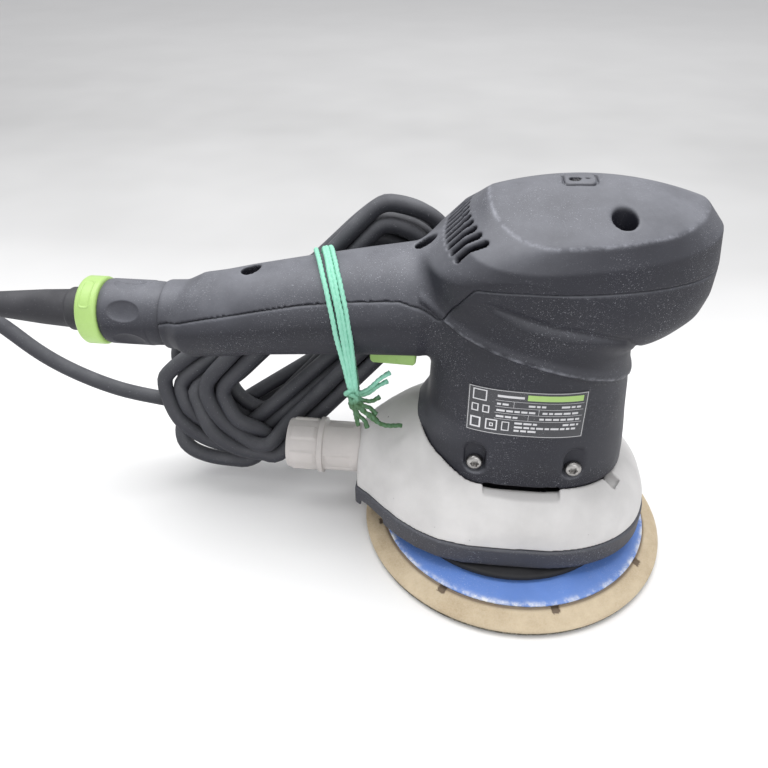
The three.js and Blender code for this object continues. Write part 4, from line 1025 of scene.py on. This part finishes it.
def add_motor_housing():
    block = Block((-170, -44, 45), (72, 44, 155), STEP)
    outer = outer_form(block)
    x, y, z = block.x, block.y, block.z
    block.field = smooth_max(outer, -(outer + WALL), 0.4)
    # the neck is open below
    opening = np.maximum(egg_distance(x, y, *NECK_MOUTH), z - (NECK_BOTTOM + 6))
    block.field = smooth_max(block.field, -opening, 0.4)
    for sx, side in HOOD_SCREWS:
        boss = np.maximum(np.hypot(x - sx, z - SCREW_HEIGHT - 3) - 8.6, 28.8 - side * y)
        block.field = np.minimum(block.field, np.maximum(boss, outer + 0.4))
    block.field = smooth_max(block.field, seam_distance(x, z) + SEAM_GAP, 0.25)
    for sx, side in HOOD_SCREWS:
        def recess(px, py, pz):
            tall = np.hypot(px - sx, np.maximum(np.abs(pz - SCREW_HEIGHT - 3.5) - 3.5, 0)) - 4.7
            return np.maximum(tall, 31.0 - side * py)
        low, high = sorted((side * 28, side * 43))
        block.cut(recess, (sx - 10, low, SCREW_HEIGHT - 10), (sx + 10, high, SCREW_HEIGHT + 18), 0.35)
    latch = lambda px, py, pz: box(px, py, pz, (-17, 30, 45), (17, 45, LATCH_TOP), 0.6)
    on_both_sides(block.cut, latch, (-20, 28, 46), (20, 44, 60), 0.4)
    gate = lambda px, py, pz: box(px, py, pz, (-72.4, -7.1, 80), (-45, 7.1, 113), 1.0)
    block.cut(gate, (-78, -10, 92), (-40, 10, 116), 0.6)
    piece, points = field_piece("motor_housing_shell", block, "housing", "housing", "motor_housing")
    # painted highlight, partly dust: a pale line just above the fold
    above = points[:, 2] - np.interp(points[:, 0], *FOLD)
    set_attribute(piece, "wear_and_highlight", 0.35 * np.exp(-(((above - 1.2) / 1.0) ** 2)) * (points[:, 0] > -46))


# ---- Dust hood, skirt and hose stub ----
HOOD_BOTTOM, HOOD_REAR = 28.8, -78.0
HOOD_STATIONS = [
    (-78, 17, 51.5), (-76, 18.6, 56), (-71, 22.5, 62), (-64, 29.5, 67), (-55, 37.5, 72), (-46, 43.5, 75.5),
    (-36, 48, 73), (-24, 50.3, 64), (-8, 50.5, 60),
]
for turn in np.linspace(0.1, 0.995, 22):
    share = math.cos(turn * math.pi / 2) ** (2 / 2.3)
    x = 62 * math.sin(turn * math.pi / 2) ** (2 / 2.3)
    HOOD_STATIONS.append((x, 50.5 * share, HOOD_BOTTOM + 31 * share))
HOOD_STATIONS = np.array(HOOD_STATIONS)


def plan_distance(x, y):
    """Signed distance in plan to the hood's outline, by its nearest side."""
    near = HOOD_STATIONS[:, :2] * [1, -1]
    outline = np.concatenate([near, [[62, 0]], (near * [1, -1])[::-1]])
    closed = np.concatenate([np.c_[outline, np.zeros(len(outline))], [[*outline[0], 0]]])
    dense = resampled(closed, 1.5)[:, :2]
    px, py = np.broadcast_arrays(x, y)
    flat = np.stack([px.ravel(), py.ravel()], 1)
    best = np.full(len(flat), 1e9)
    inside = np.zeros(len(flat), bool)
    for a, b in zip(dense[:-1], dense[1:]):
        side = b - a
        t = np.clip(((flat - a) @ side) / side.dot(side), 0, 1)
        best = np.minimum(best, np.linalg.norm(flat - a - t[:, None] * side, axis=1))
        crosses = (a[1] > flat[:, 1]) != (b[1] > flat[:, 1])
        if a[1] != b[1]:
            inside ^= crosses & (flat[:, 0] < (b[0] - a[0]) * (flat[:, 1] - a[1]) / (b[1] - a[1]) + a[0])
    return np.where(inside, -best, best).reshape(px.shape).astype(np.float32)


def hood_distance(block):
    x, y, z = block.x, block.y, block.z
    half = eased(HOOD_STATIONS[:, 0], HOOD_STATIONS[:, 1], x.ravel(), 1.2).reshape(x.shape)
    rise = eased(HOOD_STATIONS[:, 0], HOOD_STATIONS[:, 2] - HOOD_BOTTOM, x.ravel(), 1.2).reshape(x.shape)
    half, rise = np.maximum(half, 1.0), np.maximum(rise, 1.0)
    power = eased([-20, -4], [1.9, 2.5], x.ravel(), 4).reshape(x.shape)
    lift = np.maximum(z - HOOD_BOTTOM, 0)
    share = ((np.abs(y) / half) ** power + (lift / rise) ** power) ** (1 / power)
    ray = np.hypot(y, lift)
    arch = block.evened(ray - ray / np.maximum(share, 1e-3))
    arch = smooth_max(arch, plan_distance(x, y), 1.0)
    return smooth_max(arch, HOOD_REAR - x, 1.6)


def stub_hole(x, y, z):
    return np.maximum(np.hypot(y, z - PORT_HEIGHT) - 12.9, x + 60)


def add_hood():
    block = Block((-82, -54, 25), (66, 54, 80), STEP)
    x, y, z = block.x, block.y, block.z
    arch = hood_distance(block)
    chamber = np.maximum(arch + 2.6, np.where(x > -47, z - 46, -50))
    field = smooth_max(arch, HOOD_BOTTOM - z, 0.5)
    field = smooth_max(field, -chamber, 0.4)
    neck = block.evened(neck_walls(x, y, z)) + FOLD_DEPTH
    block.field = smooth_max(field, -(neck - 0.3), 0.7)
    block.field = np.maximum(block.field, -np.maximum(rod(x, y, (-2.5, 0), 24), z - 55))
    block.cut(stub_hole, (-90, -20, 20), (-50, 20, 60), 0.4)
    tongue = lambda px, py, pz: box(px, py, pz, (-16.5, 33.5, 46.6), (16.5, 38.6, LATCH_LEDGE), 0.3)
    ledge = lambda px, py, pz: box(px, py, pz, (-17, 33, LATCH_LEDGE), (17, 60, 57), 0.3)

    def tab(px, py, pz):
        u, v = px * 0.87 + py * 0.49, px * 0.49 - py * 0.87
        return box(u, v, pz, (38, -2.5, 47.4), (50.0, 4.5, 62), 0.3)
    on_both_sides(block.add, tongue, (-20, 30, 44), (20, 44, 54), 0.2)
    on_both_sides(block.cut, ledge, (-20, 30, 44), (20, 54, 62), 0.4)
    on_both_sides(block.cut, tab, (34, 10, 42), (56, 40, 64), 0.4)
    field_piece("dust_hood_shell", block, "hood", "housing", "dust_hood")


def add_skirt():
    block = Block((-82, -55, 15), (67, 55, 31), STEP * 0.8)
    x, y, z = block.x, block.y, block.z
    plan = plan_distance(x, y)
    outside = smooth_max(plan - 0.6, np.abs(z - 23.2) - 5.2, 0.9)
    inside = np.maximum(plan + 2.4, 20.4 - z)
    block.field = smooth_max(outside, -inside, 0.4)
    block.field = smooth_max(block.field, -(rod(x, y, (-2.5, 0), 46) + 0 * z), 0.6)
    block.cut(stub_hole, (-90, -20, 15), (-50, 20, 60), 0.4)
    relief = lambda px, py, pz: box(px, py, pz, (-75.5, 15, 10), (-63, 34, 21.7), 1.5)
    on_both_sides(block.cut, relief, (-80, 10, 10), (-58, 40, 26), 0.7)
    field_piece("hood_skirt_band", block, "skirt", "housing", "hood_skirt")


def add_port():
    """The stub: a neck with a sunk panel, a collar, and an end with raised panels round it."""
    def panels(radius, along, angle):
        reach = np.full(len(angle), float(radius))
        if radius < 11.5:
            return reach
        if -112.6 < along < -99.2:
            edge = min(1.0, (along + 112.6) / 1.2, (-99.2 - along) / 1.2)
            reach = reach + 0.75 * edge * np.clip((np.cos(6 * angle + 0.5) + 0.15) * 4, 0, 1)
        if -95.0 < along < -80.5:
            edge = min(1.0, (along + 95.0) / 0.8, (-80.5 - along) / 0.8)
            reach = reach - 0.7 * edge * np.clip((np.cos(3 * angle + 2.7) - 0.35) * 6, 0, 1)
        return reach
    low = [[10.4, -78 + 6], [10.4, -114], [12.2, -114.0]]
    outer = [[12.4, z] for z in np.arange(-113.4, -98.6, 0.4)]
    collar = [[12.9, -98.4], [14.0, -98.1], [14.0, -95.7], [12.9, -95.4]]
    neck = [[12.6, z] for z in np.arange(-95.2, -78, 0.4)]
    profile = low + outer + collar + neck + [[12.6, -78 + 6]]
    stub = turned(profile, 160, about="x", place=(0, 0, PORT_HEIGHT), shift=panels)
    place_round("hose_stub", stub, "port", "housing", "dust_port", sharp_above=50)


# ---- Pad ----
HOLE_RINGS, HOLE_RADIUS = (34, 60), 4.5
FOAM_NOTCH_TURN, FOAM_NOTCH_REACH = math.radians(-28.7), 68.6


def pad_disc(name, profile, slot, node, hole_radii):
    """A disc from a closed [radius, height] outline, with rings of holes through it."""
    outline = np.array(profile, float)
    low, high = outline[:, 1].min(), outline[:, 1].max()
    block = Block((-77, -77, low - 1.5), (77, 77, high + 1.5), STEP * 0.8)
    x, y, z = block.x, block.y, block.z
    best, inside = None, None
    radial, height = np.broadcast_arrays(np.hypot(x, y), z)
    for a, b in zip(outline, np.roll(outline, -1, axis=0)):
        side = b - a
        t = np.clip(((radial - a[0]) * side[0] + (height - a[1]) * side[1]) / side.dot(side), 0, 1)
        gap = np.hypot(radial - a[0] - t * side[0], height - a[1] - t * side[1])
        best = gap if best is None else np.minimum(best, gap)
        if a[1] != b[1]:
            crosses = ((a[1] > height) != (b[1] > height)) & (
                radial < (b[0] - a[0]) * (height - a[1]) / (b[1] - a[1]) + a[0])
            inside = crosses if inside is None else inside ^ crosses
    field = np.where(inside, -best, best).astype(np.float32)
    for radius in hole_radii:
        for i in range(8):
            angle = (i + 0.5) * math.pi / 4
            hole = rod(x, y, (radius * math.cos(angle), radius * math.sin(angle)), HOLE_RADIUS) + 0 * z
            field = smooth_max(field, -hole, 0.5)
    if node == "pad_foam":
        for i in range(8):
            a = FOAM_NOTCH_TURN + i * math.pi / 4
            u, v = x * math.cos(a) + y * math.sin(a), y * math.cos(a) - x * math.sin(a)
            field = smooth_max(field, -box(u, v, z, (64, -1.7, 7.4), (FOAM_NOTCH_REACH, 1.7, 12), 0.3), 0.3)
    block.field = field
    return field_piece(name, block, slot, "pad", node)


def in_notch(points):
    """1 inside the small notches round the foam's top, 0 elsewhere."""
    angle = np.arctan2(points[:, 1], points[:, 0]) - FOAM_NOTCH_TURN
    away = (angle + math.pi / 8) % (math.pi / 4) - math.pi / 8
    reach = np.hypot(points[:, 0], points[:, 1])
    inside = (np.abs(away) * reach < 1.9) & (reach < FOAM_NOTCH_REACH + 0.3) & (points[:, 2] > 7)
    return inside.astype(float)


def add_pad():
    outline = [(9, 1.9), (74.4, 1.9), (75.0, 2.7), (74.9, 3.8), (72.6, 6.3), (66, 9.0), (9, 9.0)]
    foam, points = pad_disc("pad_foam_disc", outline, "foam", "pad_foam", HOLE_RINGS)
    reach, height = np.hypot(points[:, 0], points[:, 1]), points[:, 2]
    # painted shade: a thin dark ring on the foam just outside the plate's rim, where the two meet
    line = np.exp(-(((reach - 66.4) / 0.7) ** 2)) * (height > 8)
    set_attribute(foam, "notches_and_rim_shade", np.maximum(in_notch(points), line))
    pad_disc("hook_disc", [(9, 0.0), (74, 0.0), (74.4, 1.6), (9, 1.6)], "hook", "hook_face", HOLE_RINGS)
    outline = [(3.3, 9.3), (66, 9.3), (66.2, 10.2), (65.6, 10.7), (51, 13.0), (3.3, 13.0)]
    plate, points = pad_disc("pad_plate_disc", outline, "blue", "pad_plate", HOLE_RINGS[:1])
    reach = np.hypot(points[:, 0], points[:, 1])
    edge = np.clip(1.1 * np.exp(-(((reach - 66) / 1.5) ** 2)), 0, 1)
    set_attribute(plate, "wear_and_highlight", edge * (points[:, 2] > 9.4))
    ring = turned(rounded([[43, 13.5], [54.2, 13.4], [55.2, 14.2], [55.0, 15.9], [54.2, 16.5], [49, 17.3],
                           [45.7, 17.7], [45.7, 22], [43, 22]], 0.4, 3, closed=True), 160, place=(-2.5, 0, 0))
    place_round("brake_ring_lip", ring, "rubber", "housing", "brake_ring", look="brake_rubber")

    def socket(radius, along, angle):
        if radius < 3.4 and along < 7.5:
            return radius * (0.93 + 0.07 * np.cos(6 * angle))
        return np.full(len(angle), float(radius))
    bolt = turned(rounded([[0, 7.0], [3.3, 7.0], [3.3, 4.4], [6.4, 4.2], [7.4, 5.2], [7.4, 8.9], [3, 8.9],
                           [3, 30], [0, 30]], 0.35), 96, shift=socket)
    place_round("pad_bolt_head", bolt, "steel", "pad", "pad_bolt")


# ---- Screws, trigger, dial and plug connector ----
def torx_screw(shank):
    """A domed screw about Z with a six-lobed socket. Its head's underside is at z = 0."""
    def lobes(radius, along, angle):
        if radius < 2.15 and along > 0.9:
            return radius * (0.88 + 0.12 * np.cos(6 * angle))
        return np.full(len(angle), float(radius))
    profile = [[0, -shank], [1.9, -shank + 0.3], [1.9, 0], [3.7, 0], [3.75, 0.6], [3.6, 1.4], [3.2, 2.0],
               [2.6, 2.35], [2.1, 2.4], [2.0, 2.3], [1.95, 0.6], [0, 0.6]]
    return turned(profile, 96, shift=lobes)


def add_screws():
    for i, (sx, side) in enumerate(HOOD_SCREWS):
        points, faces = torx_screw(7.5)
        points = np.stack([points[:, 0], side * (31.15 + points[:, 2]), points[:, 1] + SCREW_HEIGHT], 1)
        points[:, 0] += sx
        place_round(f"foot_screw_{i + 1}", (points, faces), "steel", "housing", f"hood_screw_{i + 1}")
    for i, (sx, sy, seat, _) in enumerate(HEAD_SCREWS + HANDLE_SCREWS):
        points, faces = torx_screw(13)
        node = f"head_screw_{i + 1}" if i < 2 else f"handle_screw_{i - 1}"
        place_round(f"{node}_torx", (points + [sx, sy, seat + 0.3], faces), "steel", "housing", node,
                    look="dark_steel")


def add_trigger():
    block = Block((-74, -9, 93), (-42, 9, 114), 0.4)
    x, y, z = block.x, block.y, block.z
    keel = np.interp(x, [-71.5, -70, -52, -50.5], [96.9, 95.9, 95.3, 96.4]).astype(np.float32)
    paddle = box(x, y, z, (-71.5, -6.5, 90), (-50.5, 6.5, 105), 0.9)
    paddle = smooth_max(paddle, keel - z, 1.2)
    arm = box(x, y, z, (-55, -6.2, 102), (-44.6, 6.2, 111), 1.6)
    field = smooth_min(paddle, arm, 1.0)
    groove = np.hypot(x + 59, np.maximum(z - 98.5, 0)) - 0.35
    field = smooth_max(field, -np.maximum(groove, np.abs(np.abs(y) - 6.5) - 0.4), 0.2)
    block.field = smooth_max(field, -(np.hypot(x + 47.5, z - 108) - 1.65) + 0 * y, 0.3)
    field_piece("trigger_paddle", block, "trigger", "trigger", "trigger")


def add_dial():
    z0 = roof(DIAL_X, 0) - 9.4
    profile = rounded([[1.65, -2.6], [8.55, -2.6], [8.55, 2.6], [1.65, 2.6]], 0.4, 3, closed=True)
    points, faces = turned(profile, 180, shift=lambda r, a, t: r - 0.35 * (np.cos(36 * t) > 0.3) * (r > 7))
    points = np.stack([points[:, 0], points[:, 2], points[:, 1]], 1) + [DIAL_X, 0, z0]
    place_round("dial_wheel", (points, faces), "inner_plastic", "dial", "speed_dial", sharp_above=35)


def add_connector():
    def dimples(radius, along, angle):
        reach = np.full(len(angle), float(radius))
        if radius < 13:
            return reach
        for i in range(6):
            offset = (angle - (i + 0.5) * math.pi / 3 + math.pi) % (2 * math.pi) - math.pi
            bowl = ((along + 181.2) / 7.6) ** 2 + (offset * radius / 4.9) ** 2
            reach = reach - 1.5 * np.clip(1 - bowl, 0, 1) ** 0.8
        reach = reach - 0.25 * (np.abs(((angle + 0.1) % math.pi) - math.pi / 2) < 0.012)
        return reach
    rear, front = -193.7, -165.3
    outer = [[15.1, a] for a in np.arange(rear + 2.6, front - 6.6, 0.3)]
    line = [[14.85, front - 6.4], [14.85, front - 6.1]]
    tail = [[14.9, front - 5.8], [14.6, front - 1.2], [14.1, front]]
    lip = [[9.1, rear], [14.2, rear], [14.7, rear + 0.5], [15.05, rear + 2.3]]
    profile = [*lip, *outer, *line, *tail, [9.1, front]]
    sleeve = turned(profile, 300, about="x", place=(0, 0, PLUG_HEIGHT), shift=dimples)
    place_round("lock_sleeve_grip", sleeve, "housing", "lock", "lock_sleeve", sharp_above=40)

    def frame_line(radius, along, angle):
        """A raised frame with round corners, on the side that faces a user's left hand."""
        reach = np.full(len(angle), float(radius))
        if radius < 14.5:
            return reach
        centre = math.radians(122)
        across = (angle - centre) * radius
        edge = np.abs(box(np.array(along), across, 0.0, (-201.4, -7, -1), (-196.6, 7, 1), 1.4))
        return reach + 0.35 * np.clip(1.6 - edge * 4, 0, 1)
    profile = [[9.1, -204], [14.6, -204], [15.3, -203.6], [15.8, -202.8]]
    profile += [[15.8, a] for a in np.arange(-202.5, -195.4, 0.2)]
    profile += [[15.7, -195.1], [15.3, -194.4], [14.6, -194], [9.1, -194]]
    ring = turned(profile, 320, about="x", place=(0, 0, PLUG_HEIGHT), shift=frame_line)
    place_round("lock_ring_band", ring, "accent", "lock", "lock_ring", sharp_above=50)
    boot_profile = rounded([[0, -262], [5.0, -262], [5.3, -260], [6.2, -248], [8.2, -226], [9.0, -212.5],
                            [10.1, -211.5], [10.3, -204.3], [0, -204.3]], 0.8, 4)
    dense = []
    for (r0, a0), (r1, a1) in zip(boot_profile[:-1], boot_profile[1:]):
        steps = max(1, int(abs(a1 - a0) / 1.5))
        dense += [[r0 + (r1 - r0) * i / steps, a0 + (a1 - a0) * i / steps] for i in range(steps)]
    dense.append(boot_profile[-1])
    boot = turned(dense, 96, about="x", place=(0, 0, PLUG_HEIGHT))
    place_round("cord_boot_taper", boot, "rubber", "housing", "cord_boot")


# ---- Rating plate: generic bars only ----
def neck_side(x, z):
    """y of the neck's right side, just proud of its surface."""
    columns = [np.interp(z, NECK_SECTIONS[:, 0], NECK_SECTIONS[:, i]) for i in range(1, 7)]
    back, front, half, middle, nose, tail = columns
    reach, power = (front - middle, nose) if x > middle else (middle - back, tail)
    share = min(1.0, abs(x - middle) / reach)
    return -half * (1 - share**power) ** (1 / power) + FOLD_DEPTH


def strip(x0, x1, z0, z1, proud, thick=0.05):
    """A thin closed patch that follows the neck's side."""
    columns = max(2, int(abs(x1 - x0) / 1.5) + 1)
    rows = max(2, int(abs(z1 - z0) / 3) + 1)
    points = []
    for lift in (proud, proud + thick):
        for z in np.linspace(z0, z1, rows):
            for x in np.linspace(x0, x1, columns):
                points.append((x, neck_side(x, z) - lift, z))
    faces, layer = [], rows * columns
    for i in range(rows - 1):
        for j in range(columns - 1):
            a = i * columns + j
            faces.append((a, a + 1, a + 1 + columns, a + columns))
            faces.append((layer + a, layer + a + columns, layer + a + 1 + columns, layer + a + 1))
    rim = [j for j in range(columns)] + [i * columns + columns - 1 for i in range(1, rows)]
    rim += [(rows - 1) * columns + j for j in range(columns - 2, -1, -1)]
    rim += [i * columns for i in range(rows - 2, 0, -1)]
    for a, b in zip(rim, rim[1:] + rim[:1]):
        faces.append((b, a, a + layer, b + layer))
    return points, faces


def add_rating_plate():
    film = strip(-26.6, 22.6, 82, 105, 0.04, 0.12)
    place_round("rating_plate_film", film, "label", "housing", "rating_plate", sharp_above=40)
    pale, green = [], []
    def bar(x0, x1, z0, z1, group=pale):
        group.append(strip(x0, x1, z0, z1, 0.17, 0.04))
    def frame_bars(x0, x1, z0, z1, width):
        bar(x0, x1, z1 - width, z1)
        bar(x0, x1, z0, z0 + width)
        bar(x0, x0 + width, z0, z1)
        bar(x1 - width, x1, z0, z1)
    frame_bars(-26.2, 22.2, 82.4, 104.6, 0.22)
    bar(-14.5, -3.5, 101.2, 102.3)
    bar(-2.2, 20.5, 100.6, 103.3, green)
    rows = [(97.4, [(-14.5, -9.2), (-1.5, 6), (12, 20)]), (94.2, [(-14.5, 1.5), (4.5, 20)]),
            (91.2, [(-14.5, -5.5), (3.5, 20)]), (88.4, [(-6.5, 4), (13.5, 20)]), (86.4, [(-6.5, 19)]),
            (84.6, [(-6.5, 3.5)])]
    rng = np.random.default_rng(11)
    for z, spans in rows:
        for x0, x1 in spans:
            x = x0
            while x < x1 - 0.8:
                word = min(rng.uniform(1.4, 3.6), x1 - x)
                bar(x, x + word, z, z + 0.95)
                x += word + 0.6
    for z in (99.5, 96.4, 93.3, 90.3):
        bar(-15.2, 21, z, z + 0.14)
    for x, z0, z1 in ((-7.6, 96.5, 99.5), (2.9, 93.4, 96.4), (-1.2, 90.4, 93.4)):
        bar(x, x + 0.14, z0, z1)
    frame_bars(-24.6, -18.8, 98.2, 103.6, 0.5)
    frame_bars(-24.8, -21.9, 92.4, 96.2, 0.5)
    frame_bars(-20.3, -17.4, 92.4, 96.2, 0.5)
    frame_bars(-25.0, -20.6, 84.2, 89.6, 0.7)
    frame_bars(-18.6, -13.6, 84.2, 89.6, 0.55)
    frame_bars(-16.9, -15.3, 86.0, 87.8, 0.4)
    frame_bars(-11.8, -8.6, 84.6, 89.2, 0.4)
    for name, group, slot, look in (("rating_plate_bars", pale, "label", "label_print"),
                                    ("rating_plate_accent", green, "accent", "accent")):
        stand_in(mesh_object(name, *joined(group), LOOK[look], smooth=False), slot, "housing")


# ---- Looks ----
def string_material():
    material, tree, shader = new_material("string", (0.24, 0.66, 0.48), 0.7)
    height = height_of(tree)
    # painted shade: below about 87 mm, where the string runs under the handle among the cord, it is near
    # black green and its fibres show less
    share = ramp(tree, maths(tree, "MULTIPLY", height, 5.0),
                 [(0.435, (0.045, 0.115, 0.035)), (0.475, (0.24, 0.60, 0.44))])
    fibres = noise(tree, 900, detail=3, place=coordinates(tree, (1, 1, 0.35)))
    with_fibres = mix(tree, ramp(tree, fibres, [(0.35, 0.0), (0.65, 1.0)]), share, (0.40, 0.76, 0.62))
    low = ramp(tree, maths(tree, "MULTIPLY", height, 5.0), [(0.44, 0.12), (0.475, 0.45)])
    colour_from(tree, shader, mix(tree, low, share, with_fibres))
    bump(tree, shader, fibres, 0.0002)
    return material


def foam_material():
    material, tree, shader = new_material("foam", (0.56, 0.46, 0.32), 0.92)
    stains = noise(tree, 35, detail=6, roughness=0.7)
    base = mix(tree, ramp(tree, stains, [(0.35, 0.0), (0.7, 1.0)]), (0.64, 0.53, 0.37), (0.42, 0.32, 0.20))
    pores = ramp(tree, noise(tree, 1300, detail=3), [(0.35, 0.0), (0.6, 1.0)])
    foam = mix(tree, maths(tree, "MULTIPLY", pores, 0.25), base, (0.66, 0.58, 0.45))
    # darkens the foam inside the notches round its top, and paints shade in a thin ring along the plate's rim
    notches_and_rim_shade = maths(tree, "MULTIPLY", attribute(tree, "notches_and_rim_shade"), 0.8)
    colour_from(tree, shader, mix(tree, notches_and_rim_shade, foam, (0.10, 0.065, 0.045)))
    bump(tree, shader, noise(tree, 1100, detail=4, roughness=0.7), 0.00025)
    bump(tree, shader, stains, 0.0004)
    return material


def hook_material():
    material, tree, shader = new_material("hook", (0.25, 0.23, 0.17), 0.95)
    loops = cells(tree, 1100)
    # painted shade: the gaps between the loops are darkened
    gaps = ramp(tree, loops, [(0.2, 0.0), (0.7, 1.0)])
    colour_from(tree, shader, mix(tree, gaps, (0.30, 0.28, 0.22), (0.10, 0.09, 0.07)))
    bump(tree, shader, loops, 0.0006)
    return material


# Plastics: colour, the colour of dust and painted top light on them, and where they differ from the plastic
# look's own default values.
PLASTICS = {
    "housing": ((0.014, 0.0145, 0.022), (0.27, 0.278, 0.31),
                dict(roughness=0.52, dust_and_top_light_amount=0.70, specks=0.5, wear_and_highlight=(0.40, 0.41, 0.46), gloss=0.36)),
    "hood": ((0.57, 0.56, 0.555), (0.70, 0.695, 0.69),
             dict(roughness=0.45, dust_and_top_light_amount=0.3, specks=0.15, nicks=0.8)),
    "skirt": ((0.034, 0.035, 0.045), (0.24, 0.25, 0.28), {}),
    "port": ((0.52, 0.49, 0.475), (0.68, 0.66, 0.65), dict(roughness=0.4, dust_and_top_light_amount=0.3, specks=0.12)),
    "accent": ((0.38, 0.58, 0.175), (0.56, 0.72, 0.34), dict(roughness=0.38, dust_and_top_light_amount=0.2, specks=0.15)),
    "trigger": ((0.30, 0.48, 0.145), (0.42, 0.62, 0.28), dict(roughness=0.42, dust_and_top_light_amount=0.2, specks=0.15)),
    "label": ((0.040, 0.041, 0.047), (0.20, 0.21, 0.23), dict(roughness=0.36, dust_and_top_light_amount=0.2, specks=0.3)),
    "label_print": ((0.62, 0.62, 0.64), (0.4, 0.4, 0.42), dict(dust_and_top_light_amount=0.3, specks=0.2)),
    "inner_plastic": ((0.022, 0.022, 0.026), (0.09, 0.09, 0.1), dict(dust_and_top_light_amount=0.2, specks=0.2)),
    "blue": ((0.060, 0.175, 0.55), (0.50, 0.58, 0.70),
             dict(roughness=0.42, dust_and_top_light_amount=0.16, specks=0.5, wear_and_highlight=(0.78, 0.80, 0.82))),
    "carbon": ((0.02, 0.02, 0.022), (0.08, 0.08, 0.08), dict(specks=0.1)),
    "board": ((0.03, 0.15, 0.06), (0.2, 0.3, 0.22), dict(roughness=0.35, specks=0.2)),
}
LOOK = {name: dusty_top_lit_plastic(name, colour, dust, **rest) for name, (colour, dust, rest) in PLASTICS.items()}
LOOK |= {
    "foam": foam_material(),
    "hook": hook_material(),
    "rubber": rubber("rubber", (0.024, 0.024, 0.029), (0.14, 0.14, 0.15)),
    "brake_rubber": rubber("brake_rubber", (0.010, 0.010, 0.012), (0.035, 0.035, 0.038)),
    "cord": rubber("cord", (0.040, 0.041, 0.050), (0.24, 0.245, 0.26), grain=700),
    "string": string_material(),
    "steel": metal("steel", (0.44, 0.43, 0.42), 0.32),
    "dark_steel": metal("dark_steel", (0.12, 0.12, 0.13), 0.45),
    "cast_alloy": metal("cast_alloy", (0.62, 0.63, 0.65), 0.5),
    "laminated": metal("laminated", (0.42, 0.43, 0.45), 0.42, brushed=(1, 1, 12)),
    "copper": metal("copper", (0.70, 0.33, 0.16), 0.35, brushed=(8, 8, 1)),
    "brass": metal("brass", (0.74, 0.56, 0.26), 0.35),
}
# The inner pieces keep their CAD shape: the nodes that take each look.
INNER_LOOKS = {
    "steel": "lower_bearing_outer_race upper_bearing_outer_race trigger_pin dial_axle motor_shaft "
             "lower_bearing_inner_race upper_bearing_inner_race pad_bearing_outer_race "
             "pad_bearing_inner_race pad_spindle trigger_spring",
    "cast_alloy": "bearing_plate bearing_bridge counterweight",
    "laminated": "stator_core armature_core",
    "copper": "field_coil_left field_coil_right commutator",
    "brass": "brush_holder_left brush_holder_right",
    "carbon": "carbon_brush_left carbon_brush_right",
    "inner_plastic": "switch_unit plug_socket plug_insert cooling_fan dust_fan",
    "board": "control_board",
}


def dress_inner_pieces():
    for look, nodes in INNER_LOOKS.items():
        for node in nodes.split():
            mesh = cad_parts[node].data
            mesh.materials.clear()
            mesh.materials.append(LOOK[look])


add_camera()
add_surroundings()
add_cords()
add_cover()
add_motor_housing()
add_hood()
add_skirt()
add_port()
add_pad()
add_screws()
add_trigger()
add_dial()
add_connector()
add_rating_plate()
dress_inner_pieces()
